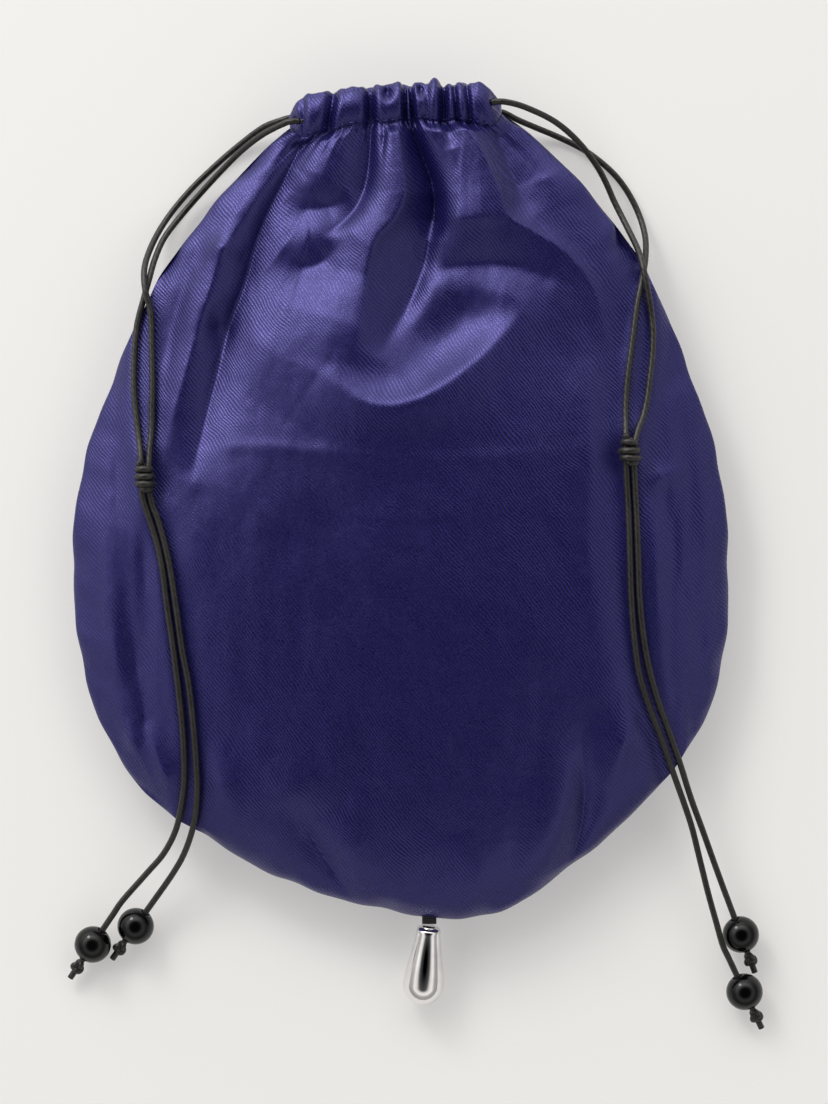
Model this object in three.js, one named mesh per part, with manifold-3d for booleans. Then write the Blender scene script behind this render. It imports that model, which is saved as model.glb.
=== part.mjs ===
// Drawstring gift pouch, lying on its back with the mouth towards +Y.
// Millimetres, +Z up. Z = 0 is the surface that the pouch lies on, and the origin
// is under the middle of the pouch and its pendant.
import * as THREE from 'three';
import { mergeVertices } from 'three/addons/utils/BufferGeometryUtils.js';
import Module from 'manifold-3d';

const wasm = await Module();
wasm.setup();

const CLEARANCE = 0.3; // between any two separate pieces

// Pouch
const HALF_WIDTH = 105.4;
const WIDEST_Y = -9;
const BASE_Y = -120;
const NECK_Y = 130.2;
const NECK_HALF_WIDTH = 33.5;
const SEAM_HEIGHT = 12.5; // side seam above the surface
const CROWN = 20.5; // front above the seam
const BELLY = 17; // back below the seam, before the surface flattens it
const PANEL_THICKNESS = 1.0;
const LINING_THICKNESS = 0.8;

// Gathered casing round the mouth
const CASING_X = -1.6;
const CASING_LEAN = 3.5; // degrees, right end towards the top
const CASING_LENGTH = 68;
const CASING_HEIGHT = 15.6; // along the pouch
const CASING_DEPTH = 15.2; // front to back
const CASING_WALL = 1.2;
const CASING_INNER_WALL = 1.0;
const CASING_BEVEL = 1.4;

// Drawcords
const CORD_DIAMETER = 2;
const CORD_STEPS = 52; // along a free strand
const CORD_CLEARANCE = 0.4; // round a cord in its channel and its exits
const CORD_TRAVEL = 8; // how far a drawcord pulls out
const LANE_SPACING = CORD_DIAMETER + CLEARANCE; // two drawcords in one channel

// On the cords
const KNOT_LENGTH = 9.2;
const KNOT_WIDTH = 7.6;
const BEAD_DIAMETER = 11.8;
const BEAD_BORE = 3;
const BEAD_TRAVEL = 6; // how far a bead slides up its cord
const BEAD_SLOPE = 12; // degrees that a cord runs down through its bead
const END_KNOT_LENGTH = 5.6;
const END_KNOT_WIDTH = 4.9;
const CORD_TIP = 1.8; // cord left beyond its end knot

// Pendant
const PENDANT_X = 9.2;
const STRAP_WIDTH = 4.6;
const STRAP_THICKNESS = 1.2;
const STRAP_ROOT = 2.4; // strap pivot inside the base seam
const STRAP_SWING = 30; // degrees each way
const STRAP_REACH = 1.1; // strap end beyond the base
const PENDANT_GAP = 0.6; // strap end to pendant
const PENDANT_LENGTH = 27;
const PENDANT_DIAMETER = 13.2;
const PENDANT_SHOULDER_DIAMETER = 7.8;
const PENDANT_TOP_DIAMETER = 4.7;
const PENDANT_TURN = -5.5; // degrees, towards the left as it lies

// The pouch, casing and beads that the routes below were drawn round. fitted() moves
// a route with them when they are another size.
const DRAWN = {
  halfWidth: 105.4, neckY: 130.2, baseY: -120, casingDepth: 15.2, casingLength: 68,
  bead: 11.8, cord: 2,
};

// Route of each free cord from near its exit to its knot, and from the knot to the
// straight stretch that its bead is on. x, y, z.
const ROUTES = {
  left_strand_1: [
    [-38.5, 136.6, 7], [-43.8, 134.8, 5.2], [-51.9, 129.2, 2.6], [-60.4, 122, 1.4],
    [-68.6, 113.9, 1.4], [-75.8, 104.6, 3], [-80.3, 95.2, 9], [-81.9, 88, 14.2],
    [-81.4, 81.5, 17], [-79.7, 74.8, 17.5], [-79.2, 63.5, 19], [-78.9, 53.3, 20.6],
    [-78.9, 45.2, 21.8], [-79, 37, 22.9], [-79.5, 29.5, 24.8], [-79.7, 21.7, 26.4],
    [-79, 14.5, 25.8], [-76.6, 7.7, 26], [-74.1, -1.4, 26.7], [-72.3, -10.6, 27.3],
    [-70.6, -22, 27.5], [-69, -33.4, 27.3], [-67.2, -42.6, 27], [-66.1, -51.7, 26.5],
    [-65.3, -60.9, 25.5], [-64.7, -70, 24.2], [-64.6, -79.2, 22], [-65.5, -87.2, 19.2],
    [-67.2, -93.5, 16.6], [-69.8, -99.8, 13.6], [-73, -105.2, 11.4],
  ],
  left_strand_2: [
    [-38.2, 134.1, 16.6], [-43.8, 131.5, 14], [-50.6, 126.9, 10], [-57.8, 120.3, 6.4],
    [-64.7, 113.1, 4.2], [-70.7, 106.2, 4], [-75.9, 99, 6.4], [-78.7, 92, 10],
    [-80.4, 85, 13.8], [-82, 78.8, 15], [-84, 70.7, 15.8], [-84.8, 61.5, 17.3],
    [-84.9, 51.3, 19.1], [-84.1, 42.1, 20.7], [-83, 33.9, 22.6], [-82.3, 28, 24.8],
    [-82.1, 21.7, 26.4], [-81.4, 14.5, 25.6], [-79.2, 7.5, 25.6], [-77, 0.4, 26],
    [-75.2, -8.3, 26.6], [-74.1, -17.4, 26.8], [-72.4, -28.9, 26.8], [-71.2, -38, 26.5],
    [-70.1, -47.2, 26], [-69.2, -56.3, 25.2], [-68.7, -65.4, 24.1], [-68.7, -74.6, 22],
    [-69.9, -83.7, 18.9], [-71.9, -91.3, 16], [-75.8, -98.6, 13.2], [-81.3, -105, 11.2],
  ],
  right_strand_1: [
    [36.4, 140.9, 16.6], [40.8, 139.6, 15], [49.6, 135.7, 11], [57, 129.8, 7.4],
    [63, 122.4, 5], [66, 117.1, 4.3], [68.7, 110.9, 4.6], [71.4, 105.2, 6.2],
    [73.9, 99.6, 9.6], [76, 94.3, 13.8], [77.4, 88.6, 17.2], [78.3, 84, 18],
    [79.4, 78, 17.8], [80.1, 73.1, 17.6], [80.5, 66.9, 18.4], [80.1, 59.6, 19.6],
    [79.3, 53.1, 20.8], [78.6, 47.7, 21.8], [77.2, 41.5, 23.3], [75.2, 36.3, 25.6],
    [73.8, 30, 27.8], [74.1, 22.5, 26.6], [74.5, 15, 26], [74.9, 6, 26.4],
    [75.3, -6, 26.6], [75.6, -15, 26.5], [76.5, -25.1, 26.1], [78.4, -37, 24.9],
    [81.7, -49, 22.7], [85.6, -59.6, 19.2], [89.2, -69.5, 16], [92.9, -80.8, 12.8],
    [96.7, -91, 11.2], [100, -100.2, 10.4],
  ],
  right_strand_2: [
    [37.7, 136.8, 6.6], [43, 134.8, 4.4], [51.7, 131.4, 1.9], [59.6, 127.4, 1.4],
    [67.1, 121.6, 1.4], [71.2, 117.1, 1.4], [74.8, 111.4, 1.5], [77.4, 105.2, 2.8],
    [78.7, 99.1, 6], [78.6, 93.4, 10.4], [77.8, 88, 14.2], [76.6, 82.4, 16.7],
    [75.5, 77.2, 18.1], [74.6, 71, 19.3], [73.6, 63.7, 20.6], [72.8, 58, 21.7],
    [72.1, 52.3, 22.6], [71.6, 46.5, 23.4], [71.4, 40, 24.9], [71.4, 35, 26.8],
    [71.4, 30, 27.8], [71.6, 22.5, 26.8], [72, 15, 26.4], [72.4, 6, 26.8],
    [72.7, -6, 27.1], [73, -15, 27], [73.9, -27.7, 26.5], [75.8, -41, 25.1],
    [79.2, -51.8, 22.9], [83.3, -62.2, 19.5], [87.2, -73, 16], [90.5, -82, 13.4],
    [93.2, -90, 12], [96, -101, 10.8], [98.6, -111.4, 10.2], [101, -120, 9.8],
  ],
};

// The knot that ties each pair of strands, and which way it lies.
const KNOTS = {
  left: { at: [-80.9, 21.7, 26.4], heading: -88 },
  right: { at: [72.6, 30, 27.8], heading: -90 },
};

// Each bead's middle, and the way that its cord runs through it, in degrees.
const BEADS = {
  left_strand_1: { at: [-85.2, -122.4], heading: -125.6 },
  left_strand_2: { at: [-99, -128.3], heading: -124.1 },
  right_strand_1: { at: [109.4, -125.1], heading: -69 },
  right_strand_2: { at: [110.6, -143.5], heading: -64.5 },
};

const material = (name, color, roughness, metalness = 0) => {
  const made = new THREE.MeshStandardMaterial({ color, roughness, metalness });
  made.name = name;
  return made;
};
const SATIN = material('indigo_satin', 0x2a2766, 0.42);
const LINING = material('indigo_lining', 0x211e52, 0.7);
const CORD = material('waxed_cord', 0x23211f, 0.5);
const BEAD = material('black_bead', 0x0c0c0d, 0.12);
const STRAP = material('black_strap', 0x141313, 0.7);
const CHROME = material('polished_metal', 0xd9d6d4, 0.08, 1);

// ---- solids ----

const SLIVER = 0.004; // edges shorter than this are closed up after a cut

function toSolid(geometry) {
  const bare = geometry.clone();
  bare.deleteAttribute('normal');
  bare.deleteAttribute('uv');
  const merged = mergeVertices(bare, 1e-4);
  const triVerts = new Uint32Array(merged.index.array);
  const vertProperties = new Float32Array(merged.attributes.position.array);
  return new wasm.Manifold(new wasm.Mesh({ numProp: 3, vertProperties, triVerts }));
}

function toGeometry(solid) {
  const mesh = solid.asOriginal().simplify(SLIVER).getMesh();
  const geometry = new THREE.BufferGeometry();
  geometry.setAttribute('position', new THREE.BufferAttribute(mesh.vertProperties, 3));
  geometry.setIndex(new THREE.BufferAttribute(mesh.triVerts, 1));
  geometry.computeVertexNormals();
  return geometry;
}

// A closed skin over rings of points, with a fan over the first ring and, at the
// other end, a pole.
function loft(rings, firstCentre, pole) {
  const count = rings[0].length;
  const points = [...rings.flat(), firstCentre, pole];
  const first = points.length - 2;
  const last = points.length - 1;
  const index = [];
  for (let i = 0; i < count; i++) {
    const j = (i + 1) % count;
    index.push(first, i, j);
    for (let row = 0; row + 1 < rings.length; row++) {
      const a = row * count;
      const b = a + count;
      index.push(a + i, b + i, a + j, a + j, b + i, b + j);
    }
    const end = (rings.length - 1) * count;
    index.push(last, end + j, end + i);
  }
  const geometry = new THREE.BufferGeometry();
  const flat = points.flatMap((p) => [p.x, p.y, p.z]);
  geometry.setAttribute('position', new THREE.Float32BufferAttribute(flat, 3));
  geometry.setIndex(index);
  return geometry;
}

// ---- the pouch's own form ----

const CASING_Y = NECK_Y + CLEARANCE + CASING_HEIGHT / 2; // middle of the casing
const lean = THREE.MathUtils.degToRad(CASING_LEAN);

// Right-hand outline from the neck to the base.
const shoulder = new THREE.CubicBezierCurve(
  new THREE.Vector2(NECK_HALF_WIDTH, NECK_Y),
  new THREE.Vector2(
    THREE.MathUtils.lerp(NECK_HALF_WIDTH, HALF_WIDTH, 0.42),
    THREE.MathUtils.lerp(NECK_Y, WIDEST_Y, 0.09),
  ),
  new THREE.Vector2(HALF_WIDTH, THREE.MathUtils.lerp(WIDEST_Y, NECK_Y, 0.46)),
  new THREE.Vector2(HALF_WIDTH, WIDEST_Y),
);
const bottom = new THREE.CubicBezierCurve(
  new THREE.Vector2(HALF_WIDTH, WIDEST_Y),
  new THREE.Vector2(HALF_WIDTH, THREE.MathUtils.lerp(WIDEST_Y, BASE_Y, 0.49)),
  new THREE.Vector2(0.57 * HALF_WIDTH, BASE_Y),
  new THREE.Vector2(0, BASE_Y),
);

// A point on the outline set in from it, at a share of the way along.
function outline(curve, share, inset) {
  const point = curve.getPoint(share);
  const along = curve.getTangent(share);
  return new THREE.Vector2(point.x + along.y * inset, point.y - along.x * inset);
}

// How far the pouch is blown out at a height, as a share of its fullest.
function fullness(y) {
  const neck = CASING_DEPTH / 2 / CROWN;
  if (y > WIDEST_Y) {
    const rise = Math.min(1, (y - WIDEST_Y) / (NECK_Y - WIDEST_Y));
    return THREE.MathUtils.lerp(neck, 1, 0.5 + 0.5 * Math.cos(Math.PI * rise));
  }
  const fall = Math.min(1, (WIDEST_Y - y) / (WIDEST_Y - BASE_Y));
  return Math.sqrt(Math.max(0, 1 - fall ** 2.4));
}

// The neck leans with the casing, and the lean dies out down the shoulders.
function leaned(x, y, z) {
  const share = THREE.MathUtils.smoothstep(y, WIDEST_Y, NECK_Y);
  return new THREE.Vector3(x + CASING_X * share, y + Math.tan(lean) * x * share, z);
}

// One row round the pouch at a point of its outline.
function row(edge, inset, sides) {
  const open = THREE.MathUtils.smoothstep(edge.y, 60, NECK_Y);
  const power = THREE.MathUtils.lerp(2, 4, open);
  const root = THREE.MathUtils.lerp(0.7, 0.5, open);
  const front = CROWN * fullness(edge.y) - inset;
  const back = THREE.MathUtils.lerp(BELLY, CROWN, open) * fullness(edge.y) - inset;
  const points = [];
  for (let i = 0; i < 2 * sides; i++) {
    const angle = (Math.PI * i) / sides;
    const across = -Math.cos(angle);
    const swell = Math.max(0, 1 - Math.abs(across) ** power) ** root;
    const reach = i < sides ? Math.max(front, 0.2) : -Math.max(back, 0.2);
    const height = Math.max(inset, SEAM_HEIGHT + reach * swell);
    points.push(leaned(across * edge.x, edge.y, height));
  }
  return points;
}

// The pouch as a full pillow, set in all round.
function pillow(inset, overrun = 0) {
  const sides = 12;
  const rows = [];
  for (let i = 0; i < 9; i++) rows.push(outline(shoulder, i / 9, inset));
  for (let i = 0; i < 8; i++) rows.push(outline(bottom, i / 8.3, inset));
  const rings = rows.map((edge) => row(edge, inset, sides));
  const neck = rings[0].map((point) => point.clone().setY(point.y + overrun));
  if (overrun > 0) rings.unshift(neck);
  const middle = leaned(0, NECK_Y + overrun, SEAM_HEIGHT);
  const pole = leaned(0, BASE_Y + inset, SEAM_HEIGHT);
  return toSolid(loft(rings, middle, pole));
}

function slab(fromZ, toZ) {
  const box = new THREE.BoxGeometry(4 * HALF_WIDTH, 4 * HALF_WIDTH + 200, toZ - fromZ);
  box.translate(0, 0, (fromZ + toZ) / 2);
  return toSolid(box);
}

const above = slab(SEAM_HEIGHT + CLEARANCE / 2, SEAM_HEIGHT + 100);
const below = slab(SEAM_HEIGHT - 100, SEAM_HEIGHT - CLEARANCE / 2);

// ---- casing ----

function stadium(length, depth) {
  const radius = depth / 2;
  const half = length / 2 - radius;
  const shape = new THREE.Shape();
  shape.absarc(half, 0, radius, -Math.PI / 2, Math.PI / 2, false);
  shape.absarc(-half, 0, radius, Math.PI / 2, (3 * Math.PI) / 2, false);
  shape.closePath();
  return shape;
}

// A stadium seen along the pouch, extruded that way, centred in the casing's own frame.
function stadiumBlock(length, depth, height, bevel = 0) {
  const geometry = new THREE.ExtrudeGeometry(stadium(length - 2 * bevel, depth - 2 * bevel), {
    depth: height - 2 * bevel,
    bevelEnabled: bevel > 0,
    bevelSize: bevel,
    bevelThickness: bevel,
    bevelSegments: 1,
    curveSegments: 8,
  });
  geometry.translate(0, 0, bevel - height / 2);
  geometry.rotateX(Math.PI / 2);
  return toSolid(geometry);
}

const channelWidth = CORD_DIAMETER + 2 * CORD_CLEARANCE;
const channelReach = CASING_DEPTH / 2 - CASING_WALL - channelWidth / 2; // to the cord's middle
const channelLength = CASING_LENGTH - 2 * CASING_WALL;
const innerDepth = CASING_DEPTH - 2 * (CASING_WALL + channelWidth);
const innerLength = channelLength - 2 * (channelWidth + CORD_TRAVEL);
const mouthDepth = innerDepth - 2 * CASING_INNER_WALL;
const mouthLength = innerLength - 2 * CASING_INNER_WALL;
const bendCentre = CASING_LENGTH / 2 - CASING_DEPTH / 2; // where a drawcord turns back
const legEnd = bendCentre + 4; // where a drawcord's part inside the casing stops

function casingBlock() {
  const outer = stadiumBlock(CASING_LENGTH, CASING_DEPTH, CASING_HEIGHT, CASING_BEVEL);
  const channelHeight = CASING_HEIGHT - 2 * CASING_WALL;
  const channel = stadiumBlock(
    channelLength,
    CASING_DEPTH - 2 * CASING_WALL,
    channelHeight,
  ).subtract(stadiumBlock(innerLength, innerDepth, 2 * CASING_HEIGHT));
  let casing = outer
    .subtract(channel)
    .subtract(stadiumBlock(mouthLength, mouthDepth, 2 * CASING_HEIGHT));
  for (const side of [-1, 1]) {
    for (const face of [-1, 1]) {
      const bore = new THREE.CylinderGeometry(channelWidth / 2, channelWidth / 2, CASING_DEPTH, 12);
      bore.rotateZ(Math.PI / 2);
      bore.translate(
        side * (bendCentre + CASING_DEPTH / 2),
        (side * face * LANE_SPACING) / 2,
        face * channelReach,
      );
      casing = casing.subtract(toSolid(bore));
    }
  }
  return casing;
}

// ---- cords ----

function cordSection(diameter) {
  const shape = new THREE.Shape();
  const radius = diameter / 2;
  for (let i = 0; i < 8; i++) {
    const angle = ((i + 0.5) * Math.PI) / 4;
    const [x, y] = [radius * Math.cos(angle), radius * Math.sin(angle)];
    if (i === 0) shape.moveTo(x, y);
    else shape.lineTo(x, y);
  }
  shape.closePath();
  return shape;
}

function tube(path, diameter, steps) {
  return new THREE.ExtrudeGeometry(cordSection(diameter), {
    steps,
    bevelEnabled: false,
    extrudePath: path,
  });
}

// A drawcord inside the casing: out along the front, round the far end of the mouth
// and back. Side -1 leaves at the left, 1 at the right. In the casing's own frame.
function drawcordPath(side) {
  const lane = (side * LANE_SPACING) / 2;
  const exit = side * legEnd;
  const points = [];
  for (let i = 0; i <= 6; i++) {
    points.push([THREE.MathUtils.lerp(exit, -side * bendCentre, i / 6), lane, channelReach]);
  }
  for (let i = 1; i < 8; i++) {
    const angle = (Math.PI * i) / 8;
    points.push([
      -side * (bendCentre + channelReach * Math.sin(angle)),
      lane * Math.cos(angle),
      channelReach * Math.cos(angle),
    ]);
  }
  for (let i = 0; i <= 6; i++) {
    points.push([THREE.MathUtils.lerp(-side * bendCentre, exit, i / 6), -lane, -channelReach]);
  }
  return new THREE.CatmullRomCurve3(points.map((point) => new THREE.Vector3(...point)));
}

// A point drawn round the pouch of DRAWN, moved to go round this one. The second cord
// of a side also keeps clear of the first one's bead.
function fitted([x, y, z = 0], number) {
  const { lerp, smoothstep } = THREE.MathUtils;
  const out = smoothstep(Math.abs(x), DRAWN.casingLength / 2, 0.68 * DRAWN.halfWidth);
  const wide = x * lerp(1, HALF_WIDTH / DRAWN.halfWidth, out);
  const longer = Math.sign(x) * (1 - out) * (CASING_LENGTH - DRAWN.casingLength) / 2;
  const beside = (number - 1) * 0.6 * (BEAD_DIAMETER - DRAWN.bead) * smoothstep(-y, 80, 115);
  const deeper = Math.sign(z - SEAM_HEIGHT) * (1 - out) ** 3 * (CASING_DEPTH - DRAWN.casingDepth) / 2;
  const thicker = (CORD_DIAMETER - DRAWN.cord) / 2;
  let along = y + BASE_Y - DRAWN.baseY;
  if (y > WIDEST_Y) {
    along = WIDEST_Y + ((y - WIDEST_Y) * (NECK_Y - WIDEST_Y)) / (DRAWN.neckY - WIDEST_Y);
  } else if (y > DRAWN.baseY) {
    along = WIDEST_Y + ((y - WIDEST_Y) * (WIDEST_Y - BASE_Y)) / (WIDEST_Y - DRAWN.baseY);
  }
  return new THREE.Vector3(wide + longer - beside, along, z + deeper + thicker);
}

// A cord's route, held off its partner's by as much as both cords are thicker than drawn.
function partedRoute(label, number) {
  const thicker = (CORD_DIAMETER - DRAWN.cord) / 2;
  const route = ROUTES[`${label}_strand_${number}`].map((point) => fitted(point, number));
  const partner = ROUTES[`${label}_strand_${3 - number}`].map((point) => fitted(point, 3 - number));
  const beside = new THREE.CatmullRomCurve3(partner).getPoints(240);
  for (const point of route) {
    const nearer = (a, b) => (a.distanceTo(point) < b.distanceTo(point) ? a : b);
    const away = point.clone().sub(beside.reduce(nearer)).normalize();
    point.addScaledVector(away, thicker);
  }
  return route;
}

// A bead's middle. The second bead of a side keeps clear of the first one's end knot.
function beadMiddle(bead, number) {
  const apart = (number - 1) * 1.2 * (BEAD_DIAMETER - DRAWN.bead);
  const heading = THREE.MathUtils.degToRad(bead.heading);
  const [x, y] = bead.at;
  return fitted([x + apart * Math.cos(heading), y + apart * Math.sin(heading)], number);
}

// A point on a drawcord's straight leg, in the pouch's frame. Face 1 is the front leg.
function onLeg(side, face, reach) {
  const point = new THREE.Vector3(
    side * reach,
    (side * face * LANE_SPACING) / 2,
    face * channelReach,
  );
  point.applyAxisAngle(new THREE.Vector3(0, 0, 1), lean);
  return point.add(new THREE.Vector3(CASING_X, CASING_Y, SEAM_HEIGHT));
}

// A point along the straight stretch through a bead, from the bead's middle.
function onBeadRun(bead, distance) {
  const heading = THREE.MathUtils.degToRad(bead.heading);
  const slope = THREE.MathUtils.degToRad(BEAD_SLOPE);
  const flat = distance * Math.cos(slope);
  return new THREE.Vector3(
    bead.middle.x + flat * Math.cos(heading),
    bead.middle.y + flat * Math.sin(heading),
    beadHeight - distance * Math.sin(slope),
  );
}

const beadHeight = BEAD_DIAMETER / 2 + 0.1;
const endKnotReach = BEAD_DIAMETER / 2 + CLEARANCE + END_KNOT_LENGTH / 2;
const straightReach = BEAD_DIAMETER / 2 + BEAD_TRAVEL + 5;

function strandPath(route, side, face, bead) {
  const points = [
    onLeg(side, face, legEnd + CLEARANCE),
    onLeg(side, face, CASING_LENGTH / 2),
    ...route,
  ];
  for (let i = 4; i >= -1; i--) points.push(onBeadRun(bead, (-i * straightReach) / 4));
  const knot = onBeadRun(bead, endKnotReach);
  const tip = onBeadRun(bead, endKnotReach + END_KNOT_LENGTH / 2 + CORD_TIP);
  tip.z = Math.max(tip.z, CORD_DIAMETER / 2 + CLEARANCE);
  points.push(knot, tip);
  return new THREE.CatmullRomCurve3(points, false, 'centripetal');
}

function cylinderAlong(from, to, diameter) {
  const along = to.clone().sub(from);
  const shape = new THREE.CylinderGeometry(diameter / 2, diameter / 2, along.length(), 12);
  const turn = new THREE.Quaternion();
  turn.setFromUnitVectors(new THREE.Vector3(0, 1, 0), along.clone().normalize());
  shape.applyQuaternion(turn);
  shape.translate((from.x + to.x) / 2, (from.y + to.y) / 2, (from.z + to.z) / 2);
  return toSolid(shape);
}

// Two turns of cord side by side, drawn tight: a long round lump with a waist.
function knotLump(length, width, at, heading, slope) {
  let lump = null;
  for (const side of [-1, 1]) {
    const turn = new THREE.SphereGeometry(width / 2, 9, 6);
    turn.scale(0.62 * (length / width), 1, 1);
    turn.translate(side * 0.19 * length, 0, 0);
    lump = lump ? lump.add(toSolid(turn)) : toSolid(turn);
  }
  const geometry = toGeometry(lump);
  geometry.rotateY(THREE.MathUtils.degToRad(slope));
  geometry.rotateZ(THREE.MathUtils.degToRad(heading));
  geometry.translate(...at);
  return toSolid(geometry);
}

// ---- pendant ----

// The strap flat in the seam, its root round its pivot, grown by a clearance.
function strapSolid(grown, turn) {
  const half = STRAP_WIDTH / 2 + grown;
  const reach = STRAP_ROOT + STRAP_REACH + grown;
  const shape = new THREE.Shape();
  shape.absarc(0, 0, half, 0, Math.PI, false);
  shape.lineTo(-half, -reach);
  shape.lineTo(half, -reach);
  shape.closePath();
  const depth = STRAP_THICKNESS + 2 * grown;
  const geometry = new THREE.ExtrudeGeometry(shape, { depth, bevelEnabled: false, curveSegments: 10 });
  geometry.translate(0, 0, -depth / 2);
  geometry.rotateZ(THREE.MathUtils.degToRad(turn));
  geometry.translate(PENDANT_X, BASE_Y + STRAP_ROOT, SEAM_HEIGHT);
  return toSolid(geometry);
}

// Room in the base seam for the strap all through its swing.
function strapPocket() {
  let pocket = strapSolid(CLEARANCE, -STRAP_SWING);
  for (const share of [-0.5, 0, 0.5, 1]) {
    pocket = pocket.add(strapSolid(CLEARANCE, share * STRAP_SWING));
  }
  return pocket;
}

// A teardrop with a rounded shoulder, its axis running down from the strap's end.
function pendantGeometry() {
  const top = PENDANT_TOP_DIAMETER / 2;
  const neck = PENDANT_SHOULDER_DIAMETER / 2;
  const full = PENDANT_DIAMETER / 2;
  const neckAt = neck - top;
  const widest = PENDANT_LENGTH - 1.05 * full;
  const profile = [
    new THREE.Vector2(0, 0),
    new THREE.Vector2(top, 0),
    new THREE.Vector2(top + 0.7 * (neck - top), -0.35 * neckAt),
  ];
  for (let i = 0; i <= 5; i++) {
    const share = i / 5;
    const bulge = 0.5 - 0.5 * Math.cos(Math.PI * share);
    profile.push(new THREE.Vector2(
      THREE.MathUtils.lerp(neck, full, 0.45 * share + 0.55 * bulge),
      THREE.MathUtils.lerp(-neckAt, -widest, share),
    ));
  }
  for (let i = 1; i < 5; i++) {
    const angle = (i * Math.PI) / 10;
    profile.push(new THREE.Vector2(
      full * Math.cos(angle),
      -widest - (PENDANT_LENGTH - widest) * Math.sin(angle),
    ));
  }
  profile.push(new THREE.Vector2(0, -PENDANT_LENGTH));
  const geometry = new THREE.LatheGeometry(profile.reverse(), 16);
  const drop = SEAM_HEIGHT - full - CLEARANCE;
  geometry.translate(0, -PENDANT_GAP, 0);
  geometry.rotateX(Math.asin(drop / (widest + PENDANT_GAP)));
  geometry.rotateZ(THREE.MathUtils.degToRad(PENDANT_TURN));
  geometry.translate(PENDANT_X, BASE_Y - STRAP_REACH, SEAM_HEIGHT);
  return geometry;
}

// ---- the object ----

const group = new THREE.Group();
const casingFrame = new THREE.Group();
casingFrame.position.set(CASING_X, CASING_Y, SEAM_HEIGHT);
casingFrame.rotation.z = lean;
group.add(casingFrame);

function add(name, geometry, look, parent = group) {
  const mesh = new THREE.Mesh(geometry, look);
  mesh.name = name;
  parent.add(mesh);
}

function addPouch() {
  const liningInset = PANEL_THICKNESS + CLEARANCE;
  const cloth = pillow(0).subtract(pillow(PANEL_THICKNESS, 2));
  const lining = pillow(liningInset).subtract(pillow(liningInset + LINING_THICKNESS, 2));
  const parts = [
    ['front_panel', cloth, above, SATIN],
    ['back_panel', cloth, below, SATIN],
    ['front_lining', lining, above, LINING],
    ['back_lining', lining, below, LINING],
  ];
  const pocket = strapPocket();
  for (const [name, whole, half, look] of parts) {
    add(name, toGeometry(whole.intersect(half).subtract(pocket)), look);
  }
}

function addCasing() {
  const casing = casingBlock();
  const front = slab(CLEARANCE / 2, 100);
  const back = slab(-100, -CLEARANCE / 2);
  add('front_casing', toGeometry(casing.intersect(front)), SATIN, casingFrame);
  add('back_casing', toGeometry(casing.intersect(back)), SATIN, casingFrame);
  add('left_drawcord_loop', tube(drawcordPath(-1), CORD_DIAMETER, 26), CORD, casingFrame);
  add('right_drawcord_loop', tube(drawcordPath(1), CORD_DIAMETER, 26), CORD, casingFrame);
}

// The two strands that leave one end of the casing, with all that is on them.
function addCords(label, side) {
  const knot = KNOTS[label];
  let lump = knotLump(KNOT_LENGTH, KNOT_WIDTH, fitted(knot.at, 1).toArray(), knot.heading, 0);
  for (const [number, face] of [[1, side], [2, -side]]) {
    const name = `${label}_strand_${number}`;
    const bead = { ...BEADS[name], middle: beadMiddle(BEADS[name], number) };
    const path = strandPath(partedRoute(label, number), side, face, bead);
    add(name, tube(path, CORD_DIAMETER, CORD_STEPS), CORD);
    const room = toSolid(tube(path, CORD_DIAMETER + 2 * CLEARANCE, CORD_STEPS));
    lump = lump.subtract(room);

    const ball = new THREE.SphereGeometry(BEAD_DIAMETER / 2, 14, 9);
    ball.translate(bead.middle.x, bead.middle.y, beadHeight);
    const from = onBeadRun(bead, -BEAD_DIAMETER);
    const bore = cylinderAlong(from, onBeadRun(bead, BEAD_DIAMETER), BEAD_BORE);
    add(`${label}_bead_${number}`, toGeometry(toSolid(ball).subtract(bore)), BEAD);

    const at = onBeadRun(bead, endKnotReach).toArray();
    const end = knotLump(END_KNOT_LENGTH, END_KNOT_WIDTH, at, bead.heading, BEAD_SLOPE);
    add(`${label}_end_knot_${number}`, toGeometry(end.subtract(room)), CORD);
  }
  add(`${label}_cord_knot`, toGeometry(lump), CORD);
}

function addPendant() {
  add('pendant_strap', toGeometry(strapSolid(0, 0)), STRAP);
  add('pendant_drop', pendantGeometry(), CHROME);
}

addPouch();
addCasing();
addCords('left', -1);
addCords('right', 1);
addPendant();

export default group;
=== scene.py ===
"""Looks for the drawstring gift pouch: it lies on its back with its mouth towards +Y.

Lengths are in millimetres until a mesh is made, and each mesh is in metres.
"""
import math

import bpy
import numpy as np
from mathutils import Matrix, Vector


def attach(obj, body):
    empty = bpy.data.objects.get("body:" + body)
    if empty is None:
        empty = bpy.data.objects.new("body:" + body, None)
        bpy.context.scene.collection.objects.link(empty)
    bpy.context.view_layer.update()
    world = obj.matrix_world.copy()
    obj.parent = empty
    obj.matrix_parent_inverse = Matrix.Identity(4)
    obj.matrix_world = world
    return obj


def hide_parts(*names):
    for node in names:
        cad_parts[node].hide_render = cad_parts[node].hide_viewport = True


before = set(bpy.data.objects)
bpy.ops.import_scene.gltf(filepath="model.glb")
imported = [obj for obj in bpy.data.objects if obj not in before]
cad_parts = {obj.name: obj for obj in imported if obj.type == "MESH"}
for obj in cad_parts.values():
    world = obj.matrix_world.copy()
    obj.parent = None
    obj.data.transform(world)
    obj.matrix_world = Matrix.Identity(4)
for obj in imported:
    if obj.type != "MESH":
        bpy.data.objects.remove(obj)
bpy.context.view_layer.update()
scene = bpy.context.scene

MM = 0.001

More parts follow.
